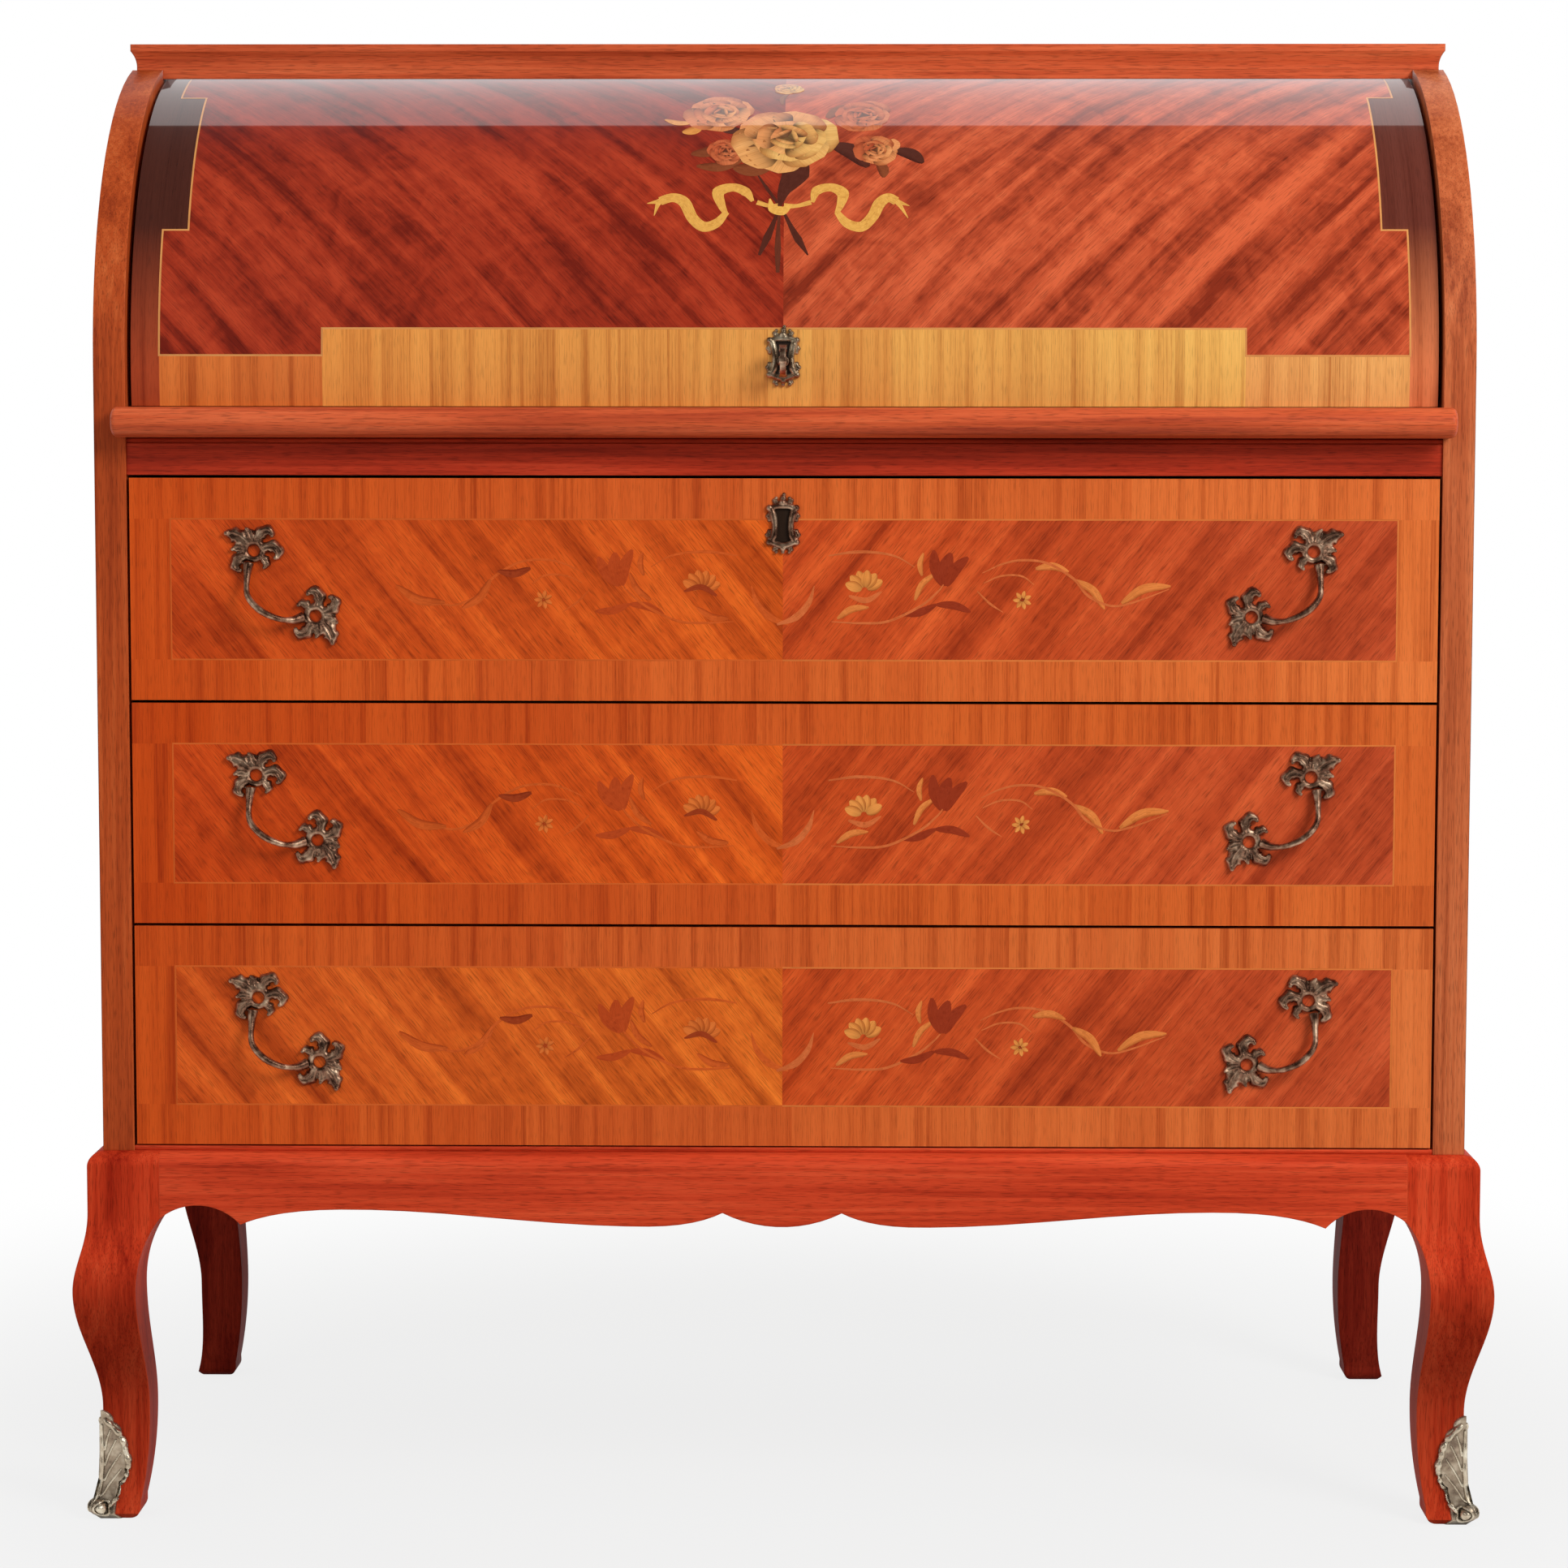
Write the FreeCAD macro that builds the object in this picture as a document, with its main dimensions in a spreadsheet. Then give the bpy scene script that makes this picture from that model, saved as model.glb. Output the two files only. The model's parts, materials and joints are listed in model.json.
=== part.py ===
import FreeCAD, Part
import math
import os
import Sketcher

# Cylinder desk: a carcase with three drawers, a writing slide and a turning cylinder front,
# on a base with shaped aprons and four cabriole legs.
# Millimetres, +Z up, +X to the sitter's right, the front faces -Y.
# The origin is on the floor, in the middle of the plan.

DIMENSIONS = [
    ("carcase_width", 960, "outside of both side panels"),
    ("carcase_depth", 447, "front edge of the side panels to the back"),
    ("side_thickness", 22, "side panel"),
    ("back_thickness", 8, "back panel"),
    ("bottom_thickness", 12, "bottom board"),
    ("base_height", 264, "floor to the underside of the carcase"),
    ("drawers_lift", 4.7, "base to the lower edge of the lowest drawer front"),
    ("drawer_pitch", 157.1, "one drawer front to the next"),
    ("drawer_gap", 2, "gap round a drawer front"),
    ("rail_height", 22, "rail over the drawers"),
    ("rail_depth", 40, "rail over the drawers, front to back"),
    ("rail_set", 2, "rail behind the front edge of the side panels"),
    ("slide_lift", 4, "shadow gap between the rail and the writing slide"),
    ("slide_thickness", 20, "writing board"),
    ("slide_clearance", 0.3, "writing board over its runners"),
    ("slide_side_gap", 3, "writing board to the side panel"),
    ("slide_back_gap", 12, "writing board to the back panel"),
    ("slide_overhang", 28, "nosing in front of the side panels"),
    ("nosing_height", 21, "half-round nosing of the slide"),
    ("nosing_lap", 6, "nosing in front of each side panel's edge"),
    ("nosing_round", 4, "rounding of the nosing's ends"),
    ("slide_runner_width", 20, "bearer of the slide"),
    ("slide_runner_height", 18, "bearer of the slide"),
    ("deck_gap", 2, "writing board to the fixed deck"),
    ("deck_thickness", 8, "fixed deck under the pigeonholes"),
    ("shell_gap", 2, "writing board to the foot of the cylinder"),
    ("axis_rise", 28, "foot of the cylinder to its axis"),
    ("cylinder_recess", 7, "cylinder inside the curved edge"),
    ("shell_thickness", 12, "cylinder front"),
    ("shell_high_angle", 80, "upper end of the cylinder, degrees over the horizontal"),
    ("shell_end_gap", 3, "cylinder to the side panel"),
    ("cheek_thickness", 10, "quadrant cheek at each end of the cylinder"),
    ("hub_radius", 16, "hub of the cheek"),
    ("pin_radius", 6, "pivot pin"),
    ("pin_collar_radius", 11, "collar of the pivot pin"),
    ("pin_depth", 14, "pivot pin in the side panel"),
    ("pin_clearance", 0.05, "pivot pin in its hub"),
    ("collar_clearance", 0.3, "collar to the cheek"),
    ("seat_gap", 0.05, "fittings against a curved face"),
    ("top_rail_depth", 14, "rail over the cylinder, front to back"),
    ("top_gap", 0.8, "cylinder to the rail and the board over it"),
    ("cornice_height", 18.4, "top moulding"),
    ("cornice_flare", 4, "lip of the moulding in front of its foot"),
    ("cornice_foot", 3, "upright foot of the moulding"),
    ("cornice_lip", 5, "upright lip of the moulding"),
    ("cornice_hollow", 17, "radius of the hollow"),
    ("cornice_overhang", 1, "lip outside the side panels"),
    ("base_overhang", 10, "base outside the carcase"),
    ("base_round", 10, "rounded upper edge of the base"),
    ("apron_thickness", 24, "apron board"),
    ("back_rail_height", 44, "rail between the back legs"),
    ("back_rail_thickness", 20, "rail between the back legs"),
    ("leg_block", 51, "square block at the head of a leg"),
    ("shoulder_drop", 42, "where the leg starts to swell, under the carcase"),
    ("knee_drop", 98, "widest part of the knee, under the carcase"),
    ("knee_swell", 9.5, "knee outside the base"),
    ("knee_width", 44.5, "leg at the knee"),
    ("ankle_height", 80, "narrowest part of the leg over the floor"),
    ("ankle_set", 7.7, "ankle inside the base"),
    ("ankle_width", 33.3, "leg at the ankle"),
    ("toe_set", 3, "toe inside the base"),
    ("toe_rise", 4, "bevel under the toe"),
    ("toe_width", 31, "leg at the toe"),
    ("heel_height", 12, "where the heel starts to round"),
    ("heel_round", 8, "rounding of the heel"),
    ("arch_foot_drop", 47, "arch of the apron where it meets the leg, under the carcase"),
    ("arch_crown_drop", 37.5, "crown of that arch, under the carcase"),
    ("arch_set", 29, "crown of the arch from the leg"),
    ("cusp_set", 57, "hanging cusp from the leg"),
    ("cusp_drop", 51, "hanging cusp, under the carcase"),
    ("crest_set", 134, "high point of the apron's edge from the leg"),
    ("crest_drop", 40, "high point of the apron's edge, under the carcase"),
    ("lobe_set", 96, "side lobe from the middle"),
    ("lobe_drop", 51.4, "lobes of the apron, under the carcase"),
    ("scallop_reach", 42, "notch beside the middle lobe"),
    ("scallop_drop", 41.5, "notch, under the carcase"),
    ("batten_depth", 20, "batten behind the front apron, front to back"),
    ("batten_height", 20, "batten behind the front apron"),
    ("block_height", 32, "glue block"),
    ("block_drop", 2, "glue block under the carcase"),
    ("sabot_height", 78, "bronze sabot"),
    ("sabot_width", 20, "sabot on each face of the leg"),
    ("sabot_thickness", 1.6, "sabot"),
    ("toe_ball_radius", 6, "ball at the toe of the sabot"),
    ("toe_ball_height", 9, "ball over the floor"),
    ("toe_ball_out", 1, "ball outside the corner of the toe"),
    ("front_thickness", 20, "drawer front"),
    ("drawer_side_thickness", 14, "drawer side"),
    ("drawer_side_height", 125, "drawer side"),
    ("drawer_side_lift", 12, "drawer side over the lower edge of the front"),
    ("drawer_back_thickness", 12, "drawer back"),
    ("drawer_back_gap", 19, "drawer to the back panel"),
    ("drawer_bottom_thickness", 5, "drawer bottom"),
    ("drawer_bottom_lift", 10, "drawer bottom over the lower edge of the sides"),
    ("runner_height", 14, "drawer runner"),
    ("runner_width", 9, "drawer runner"),
    ("runner_set", 24, "drawer runner behind the front"),
    ("runner_clearance", 0.3, "runner in its groove"),
    ("groove_spare", 1, "groove deeper than the runner"),
    ("handle_reach", 355, "middle of a handle from the middle of the desk"),
    ("handle_lift", 71.6, "middle of a handle over the lower edge of the front"),
    ("bail_span", 33, "handle bail, root to root, sideways and up"),
    ("bail_radius", 2.4, "handle bail"),
    ("bail_stand", 19, "handle bail in front of the drawer"),
    ("rosette_length", 36, "leafy end of a handle"),
    ("rosette_relief", 5, "leafy end in front of the drawer"),
    ("escutcheon_height", 42, "keyhole plate"),
    ("escutcheon_relief", 3.5, "keyhole plate"),
    ("keyhole_radius", 2.8, "round of a keyhole"),
    ("keyhole_slot_width", 2.6, "slot of a keyhole"),
    ("keyhole_slot_length", 9, "slot of a keyhole"),
    ("lock_width", 56, "lock case"),
    ("lock_height", 34, "lock case"),
    ("lock_depth", 12, "lock case"),
    ("lock_wall", 4, "front wall of a lock case"),
    ("lock_hollow", 10, "radius of the hollow where the key turns"),
    ("lock_clearance", 0.05, "key shank in the lock"),
    ("lock_rise", 31, "cylinder's keyhole over the foot of the cylinder"),
    ("drawer_lock_drop", 35, "drawer's keyhole under the upper edge of the front"),
    ("bolt_width", 16, "lock bolt"),
    ("bolt_height", 6, "lock bolt"),
    ("key_shank_radius", 2.5, "key"),
    ("key_hole_radius", 3.5, "hole for the key through the wood"),
    ("key_neck", 5, "key between the plate and the bow"),
    ("key_collar_radius", 4, "collar of the key"),
    ("key_collar_length", 2.5, "collar of the key"),
    ("key_bow_radius", 8.5, "ring of the key"),
    ("key_wire_radius", 2, "ring of the key"),
    ("key_bead_radius", 2.6, "beads on the key's ring"),
    ("key_bit_length", 8, "key bit from the middle of the shank"),
    ("key_bit_thickness", 2.2, "key bit"),
    ("key_bit_width", 5, "key bit along the shank"),
    ("key_end_gap", 1, "key's end inside the back of the lock"),
    ("unit_height", 110, "pigeonhole unit"),
    ("unit_depth", 190, "pigeonhole unit"),
    ("unit_gap", 9, "pigeonhole unit inside the cylinder"),
    ("unit_side_gap", 5, "pigeonhole unit to the cheek"),
    ("unit_board", 8, "boards of the pigeonhole unit"),
    ("unit_divider_reach", 190, "divider from the middle of the desk"),
    ("shelf_lift", 52, "shelf over the deck"),
    ("shelf_thickness", 6, "shelf over a small drawer"),
    ("small_gap", 1, "gap round a small drawer"),
    ("small_rest", 0.3, "small drawer over the deck"),
    ("small_front_thickness", 12, "small drawer front"),
    ("small_wall", 6, "small drawer's tray"),
    ("small_back_gap", 6, "small drawer to the back of the unit"),
    ("knob_radius", 7, "turned knob"),
    ("knob_length", 15, "turned knob"),
    ("knob_neck_radius", 3.5, "turned knob"),
    ("tenon_radius", 3, "knob's tenon"),
    ("tenon_length", 8, "knob's tenon"),
]

DRAWER_COUNT = 3
# Radius of the side panels' curved edge as a share of the depth.
# Rise of that edge as a share of the radius.
RADIUS_SHARE = 0.5145
RISE_SHARE = 0.959
# Half outline of a cast leaf from root to tip, as shares of its length and breadth.
# Size of its flat crest as a share of the leaf.
LEAF_OUTLINE = [(-0.50, 0.16), (-0.30, 0.40), (-0.02, 0.50), (0.26, 0.34), (0.50, 0.06)]
LEAF_CREST = 0.45
# Leaves of a handle's end: root, tip and breadth as shares of its length, from the bail outwards.
ROSETTE_LEAVES = [
    ((0.54, -0.02), (0.96, -0.72), 0.34),
    ((0.58, 0.10), (0.95, 0.40), 0.27),
    ((0.50, 0.18), (0.44, 0.66), 0.28),
    ((0.42, -0.04), (0.12, -0.38), 0.28),
    ((0.50, -0.04), (0.53, -0.34), 0.17),
    ((0.58, 0.04), (0.94, -0.10), 0.18),
    ((-0.10, 0.00), (0.36, 0.02), 0.22),
]
ROSETTE_RING = (0.48, 0.06)
ROSETTE_RING_RADIUS = 0.22
ROSETTE_HOLE_RADIUS = 0.11
# Leaves of a keyhole plate, as shares of its height, from its middle.
ESCUTCHEON_LEAVES = [
    ((0.00, -0.26), (0.00, 0.30), 0.40),
    ((0.00, 0.16), (0.02, 0.50), 0.18),
    ((0.00, -0.16), (0.00, -0.50), 0.18),
    ((0.06, 0.08), (0.31, 0.26), 0.15),
    ((-0.06, 0.08), (-0.31, 0.24), 0.15),
    ((0.06, -0.08), (0.29, -0.22), 0.15),
    ((-0.06, -0.08), (-0.31, -0.26), 0.15),
]
ESCUTCHEON_KEYHOLE = -0.10
# Lean of the heel: how far it goes in for each millimetre up.
HEEL_LEAN = 0.22
# Edge of a sabot from the toe upwards: shares of its width and height, and of its width for each scallop.
SABOT_EDGE = [
    (0.70, 0.00, None),
    (0.60, 0.16, None),
    (0.62, 0.34, 0.40),
    (0.80, 0.46, 0.40),
    (0.78, 0.62, 0.40),
    (0.60, 0.76, 0.40),
    (0.36, 0.89, 0.40),
]

doc = FreeCAD.newDocument("cylinder_desk")
dims = doc.addObject("Spreadsheet::Sheet", "dims")
for row, (alias, number, note) in enumerate(DIMENSIONS, start=1):
    dims.set(f"A{row}", note)
    dims.set(f"B{row}", str(number))
    dims.setAlias(f"B{row}", alias)
doc.recompute()

PARTS = []


# Levels and places that several pieces share, as expressions on the sheet

FRONT = "((dims.slide_overhang - dims.carcase_depth - dims.base_overhang - dims.knee_swell) / 2)"
HALF = "(dims.carcase_width / 2)"
INNER = f"({HALF} - dims.side_thickness)"
BACK_FACE = "(dims.carcase_depth - dims.back_thickness)"
DRAWERS_FOOT = "(dims.base_height + dims.drawers_lift)"
FRONT_HEIGHT = "(dims.drawer_pitch - dims.drawer_gap)"
RAIL_FOOT = f"({DRAWERS_FOOT} + {DRAWER_COUNT} * dims.drawer_pitch)"
RAIL_TOP = f"({RAIL_FOOT} + dims.rail_height)"
SLIDE_FOOT = f"({RAIL_TOP} + dims.slide_lift)"
SLIDE_TOP = f"({SLIDE_FOOT} + dims.slide_thickness)"
DECK_FOOT = f"({SLIDE_TOP} + dims.deck_gap)"
DECK_TOP = f"({DECK_FOOT} + dims.deck_thickness)"
SHELL_FOOT = f"({SLIDE_TOP} + dims.shell_gap)"
SIDE_RADIUS = f"({RADIUS_SHARE} * dims.carcase_depth)"
SIDE_RISE = f"({RISE_SHARE} * {SIDE_RADIUS})"
AXIS_Y = SIDE_RADIUS
AXIS_Z = f"({SHELL_FOOT} + dims.axis_rise)"
SIDE_TOP = f"({AXIS_Z} + {SIDE_RISE})"
TOP_HALF_CHORD = f"sqrt({SIDE_RADIUS}^2 - {SIDE_RISE}^2)"
TOP_START = f"({AXIS_Y} - {TOP_HALF_CHORD})"
SHELL_RADIUS = f"({SIDE_RADIUS} - dims.cylinder_recess)"
SHELL_INNER = f"({SHELL_RADIUS} - dims.shell_thickness)"
SHELL_HALF = f"({INNER} - dims.shell_end_gap)"
CHEEK_INNER = f"({SHELL_HALF} - dims.cheek_thickness)"
SHELL_LOW_ANGLE = f"(-asin(dims.axis_rise / {SHELL_RADIUS}) / 1 deg)"
TOP_CLEAR_RADIUS = f"({SHELL_RADIUS} + dims.top_gap)"
TOP_UNDERSIDE = f"({AXIS_Z} + {TOP_CLEAR_RADIUS})"
BASE_HALF = f"({HALF} + dims.base_overhang)"
LEG_INNER = f"({BASE_HALF} - dims.leg_block)"
LEG_REAR = "(dims.leg_block - dims.base_overhang)"
BACK_LEG_FRONT = f"(dims.carcase_depth - {LEG_REAR})"


# Helpers

def mm(expression):
    """Present value of an expression on the sheet."""
    result = dims.evalExpression(expression)
    return float(getattr(result, "Value", result))


def keep(sub_part):
    """Enter a finished sub-part in the list of those that are written out."""
    PARTS.append(sub_part)
    return sub_part


def place(sub_part, x="0", y="0", z="0"):
    """Bind the place of a sub-part: y counts from the front edge of the side panels."""
    sub_part.setExpression("Placement.Base.x", x)
    sub_part.setExpression("Placement.Base.y", f"{FRONT} + {y}")
    sub_part.setExpression("Placement.Base.z", z)
    return sub_part


def board(label, x, y, z):
    """Flat board between pairs of bound faces."""
    box = doc.addObject("Part::Box", label)
    box.setExpression("Length", f"{x[1]} - ({x[0]})")
    box.setExpression("Width", f"{y[1]} - ({y[0]})")
    box.setExpression("Height", f"{z[1]} - ({z[0]})")
    return place(box, x[0], y[0], z[0])


def rod(label, radius, length, x, y, z, along):
    """Round rod from a bound point, along X or along Y."""
    cylinder = doc.addObject("Part::Cylinder", label)
    cylinder.setExpression("Radius", radius)
    cylinder.setExpression("Height", length)
    turn = {"x": ((0, 1, 0), 90), "y": ((1, 0, 0), -90)}[along]
    cylinder.Placement.Rotation = FreeCAD.Rotation(FreeCAD.Vector(*turn[0]), turn[1])
    return place(cylinder, x, y, z)


def ball(label, radius, x, y, z):
    """Ball about a bound point."""
    sphere = doc.addObject("Part::Sphere", label)
    sphere.setExpression("Radius", radius)
    return place(sphere, x, y, z)


def cut(label, base, tool):
    """Base with the tool taken away."""
    result = doc.addObject("Part::Cut", label)
    result.Base = base
    result.Tool = tool
    return result


def common(label, base, tool):
    """What base and tool share."""
    result = doc.addObject("Part::Common", label)
    result.Base = base
    result.Tool = tool
    return result


def fuse(label, pieces):
    """One solid out of several that overlap."""
    result = doc.addObject("Part::MultiFuse", label)
    result.Shapes = pieces
    return result


def group(label, pieces):
    """Identical pieces that share a node."""
    result = doc.addObject("Part::Compound", label)
    result.Links = pieces
    return result


def mirrored(label, source, normal=(1, 0, 0), middle="0"):
    """The other hand of a sub-part; middle places the mirror when it faces along Y."""
    result = doc.addObject("Part::Mirroring", label)
    result.Source = source
    result.Normal = FreeCAD.Vector(*normal)
    result.setExpression("Base.y", middle)
    return result


def body(label):
    """Empty body for sketched features."""
    return doc.addObject("PartDesign::Body", label)


def sketch_on(owner, plane, offset="0"):
    """Sketch on one of the body's own origin planes, moved along the plane's normal."""
    sketch = owner.newObject("Sketcher::SketchObject", f"{owner.Name}_sketch")
    support = [feature for feature in owner.Origin.OriginFeatures if feature.Role == plane]
    sketch.AttachmentSupport = [(support[0], "")]
    sketch.MapMode = "FlatFace"
    sketch.setExpression("AttachmentOffset.Base.z", offset)
    return sketch


def end_of(sketch, index, point):
    """Which end of an edge lies at a point: 1 its start, 2 its end."""
    return 1 if sketch.Geometry[index].StartPoint.isEqual(point, 1e-6) else 2


def outline(owner, plane, corners, offset="0"):
    """Closed sketch with bound corners; a corner's third entry is the radius of an arc to the next.

    A positive radius bulges to the right of the way round, a negative one to the left.
    """
    sketch = sketch_on(owner, plane, offset)
    points = [FreeCAD.Vector(mm(corner[0]), mm(corner[1]), 0) for corner in corners]
    count = len(points)
    for index, corner in enumerate(corners):
        start = points[index]
        finish = points[(index + 1) % count]
        if len(corner) == 2:
            sketch.addGeometry(Part.LineSegment(start, finish))
            continue
        radius = mm(corner[2])
        chord = finish - start
        sagitta = abs(radius) - math.sqrt(radius ** 2 - chord.Length ** 2 / 4)
        right = FreeCAD.Vector(chord.y, -chord.x, 0).normalize()
        middle = (start + finish) * 0.5 + right * math.copysign(sagitta, radius)
        ends = (start, finish) if radius > 0 else (finish, start)
        sketch.addGeometry(Part.Arc(ends[0], middle, ends[1]))
    for index, point in enumerate(points):
        before = (index - 1) % count
        ends = (before, end_of(sketch, before, point), index, end_of(sketch, index, point))
        sketch.addConstraint(Sketcher.Constraint("Coincident", *ends))
    for index, corner in enumerate(corners):
        point = points[index]
        end = end_of(sketch, index, point)
        sideways = ("DistanceX", -2, point.x, corner[0])
        upwards = ("DistanceY", -1, point.y, corner[1])
        for kind, axis, number, text in (sideways, upwards):
            if abs(number) < 1e-9:
                sketch.addConstraint(Sketcher.Constraint("PointOnObject", index, end, axis))
                continue
            name = sketch.addConstraint(Sketcher.Constraint(kind, -1, 1, index, end, number))
            sketch.setExpression(f"Constraints[{name}]", text)
        if len(corner) == 3:
            name = sketch.addConstraint(Sketcher.Constraint("Radius", index, abs(mm(corner[2]))))
            sketch.setExpression(f"Constraints[{name}]", f"abs({corner[2]})")
    return sketch


def curve_sketch(owner, plane, curves):
    """Sketch of free curves that meet end to end."""
    sketch = sketch_on(owner, plane)
    sketch.addGeometry(curves)
    return sketch


def pad(owner, sketch, length, side="One side", reverse=False):
    """Pad a sketch by a bound length."""
    feature = owner.newObject("PartDesign::Pad", f"{owner.Name}_pad")
    feature.Profile = sketch
    feature.SideType = side
    feature.Reversed = reverse
    feature.setExpression("Length", length)
    doc.recompute()
    return feature


def pocket(owner, sketch, length):
    """Cut a sketch out of the body, half the length to each side of its plane."""
    before = owner.Shape.Volume
    feature = owner.newObject("PartDesign::Pocket", f"{owner.Name}_pocket")
    feature.Profile = sketch
    feature.SideType = "Symmetric"
    feature.setExpression("Length", length)
    doc.recompute()
    if owner.Shape.Volume > before - 1e-6:
        raise RuntimeError(f"{feature.Name} cuts nothing")
    return feature


def round_edges(owner, base, radius, test):
    """Fillet the edges of a feature whose middle passes a test."""
    names = []
    for index, edge in enumerate(base.Shape.Edges, start=1):
        if test(edge.CenterOfMass):
            names.append(f"Edge{index}")
    feature = owner.newObject("PartDesign::Fillet", f"{owner.Name}_round")
    feature.Base = (base, names)
    feature.setExpression("Radius", radius)
    doc.recompute()
    return feature


def at(number, target):
    """Whether two lengths agree to a hundredth of a millimetre."""
    return abs(number - target) < 0.01


def line(start, finish):
    """Straight edge of a free outline."""
    return Part.LineSegment(FreeCAD.Vector(*start, 0), FreeCAD.Vector(*finish, 0))


def arc(start, middle, finish):
    """Round edge of a free outline through three points."""
    return Part.Arc(*(FreeCAD.Vector(*point, 0) for point in (start, middle, finish)))


def spline(points, tangents):
    """Smooth edge through a few points, each with the direction that it passes in."""
    curve = Part.BSplineCurve()
    curve.interpolate(
        Points=[FreeCAD.Vector(*point, 0) for point in points],
        Tangents=[FreeCAD.Vector(*tangent, 0) for tangent in tangents],
        TangentFlags=[True] * len(points),
    )
    return curve


def polar(radius, angle):
    """Bound point at a radius and an angle over the horizontal, seen from the cylinder's axis."""
    return (f"{AXIS_Y} - {radius} * cos({angle})", f"{AXIS_Z} + {radius} * sin({angle})")


def axis_drum(label, radius):
    """Round bar about the cylinder's axis, to shape what sits against the shell."""
    return rod(label, radius, f"2 * {HALF}", f"-{HALF}", AXIS_Y, AXIS_Z, "x")


# Carcase: side panels with a curved front edge, back, bottom, rails and bearers

def side_panel():
    panel = body("side_panel_right")
    corners = [
        ("0", "dims.base_height"),
        ("dims.carcase_depth", "dims.base_height"),
        ("dims.carcase_depth", SIDE_TOP),
        (TOP_START, SIDE_TOP, SIDE_RADIUS),
        ("0", AXIS_Z),
    ]
    pad(panel, outline(panel, "YZ_Plane", corners), "dims.side_thickness")
    socket = sketch_on(panel, "YZ_Plane")
    middle = FreeCAD.Vector(mm(AXIS_Y), mm(AXIS_Z), 0)
    socket.addGeometry(Part.Circle(middle, FreeCAD.Vector(0, 0, 1), mm("dims.pin_radius")))
    for kind, text in (("DistanceX", AXIS_Y), ("DistanceY", AXIS_Z)):
        name = socket.addConstraint(Sketcher.Constraint(kind, -1, 1, 0, 3, mm(text)))
        socket.setExpression(f"Constraints[{name}]", text)
    name = socket.addConstraint(Sketcher.Constraint("Radius", 0, mm("dims.pin_radius")))
    socket.setExpression(f"Constraints[{name}]", "dims.pin_radius + dims.seat_gap")
    pocket(panel, socket, "2 * (dims.pin_depth + dims.seat_gap)")
    return place(panel, INNER)


right_panel = keep(side_panel())
keep(mirrored("side_panel_left", right_panel))
BETWEEN_SIDES = (f"-{INNER}", INNER)
BACK_SPAN = (BACK_FACE, "dims.carcase_depth")
keep(board("back_panel", BETWEEN_SIDES, BACK_SPAN, ("dims.base_height", TOP_UNDERSIDE)))
BOTTOM_TOP = "dims.base_height + dims.bottom_thickness"
keep(board("bottom_board", BETWEEN_SIDES, ("dims.runner_set", BACK_FACE), ("dims.base_height", BOTTOM_TOP)))
RAIL_BACK = "(dims.rail_set + dims.rail_depth)"
keep(board("slide_rail", BETWEEN_SIDES, ("dims.rail_set", RAIL_BACK), (RAIL_FOOT, RAIL_TOP)))


def slide_runner():
    high = f"{SLIDE_FOOT} - dims.slide_clearance"
    low = f"{high} - dims.slide_runner_height"
    across = (f"{INNER} - dims.slide_runner_width", INNER)
    return board("slide_runner", across, (RAIL_BACK, BACK_FACE), (low, high))


right_slide_runner = slide_runner()
keep(group("slide_runners", [right_slide_runner, mirrored("slide_runner_left", right_slide_runner)]))


def drawer_foot(number):
    """Lower edge of a drawer front; drawer 1 is the upper one."""
    return f"({DRAWERS_FOOT} + {DRAWER_COUNT - number} * dims.drawer_pitch)"


def runner_foot(number):
    """Lower face of a drawer runner, halfway up the drawer side."""
    side_middle = "dims.drawer_side_lift + dims.drawer_side_height / 2"
    return f"({drawer_foot(number)} + {side_middle} - dims.runner_height / 2)"


runners = []
for number in range(1, DRAWER_COUNT + 1):
    span_z = (runner_foot(number), f"{runner_foot(number)} + dims.runner_height")
    span_x = (f"{INNER} - dims.runner_width", INNER)
    runners.append(board(f"runner_right_{number}", span_x, ("dims.runner_set", BACK_FACE), span_z))
    runners.append(mirrored(f"runner_left_{number}", runners[-1]))
keep(group("drawer_runners", runners))

# Top: a thin rail over the cylinder, and a panel framed by a hollow moulding with mitred corners


def top_front_rail():
    """Rail whose underside is hollowed to follow the cylinder."""
    depth = (TOP_START, f"({TOP_START} + dims.top_rail_depth)")
    foot = f"({AXIS_Z} + sqrt({TOP_CLEAR_RADIUS}^2 - {TOP_HALF_CHORD}^2))"
    blank = board("top_rail_blank", BETWEEN_SIDES, depth, (foot, SIDE_TOP))
    return cut("top_front_rail", blank, axis_drum("top_rail_hollow", TOP_CLEAR_RADIUS))


keep(top_front_rail())

LIP_HALF = f"({HALF} + dims.cornice_overhang)"
LIP_FRONT = f"({TOP_START} - dims.cornice_flare)"
CORNICE_TOP = f"({SIDE_TOP} + dims.cornice_height)"
CORNICE_WIDTH = "(dims.side_thickness + dims.cornice_overhang)"
PANEL_HALF = f"({LIP_HALF} - {CORNICE_WIDTH})"
PANEL_FRONT = f"({LIP_FRONT} + {CORNICE_WIDTH})"
TOP_SPAN = (PANEL_FRONT, "dims.carcase_depth")
keep(board("top_board", (f"-{PANEL_HALF}", PANEL_HALF), TOP_SPAN, (TOP_UNDERSIDE, CORNICE_TOP)))


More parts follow.
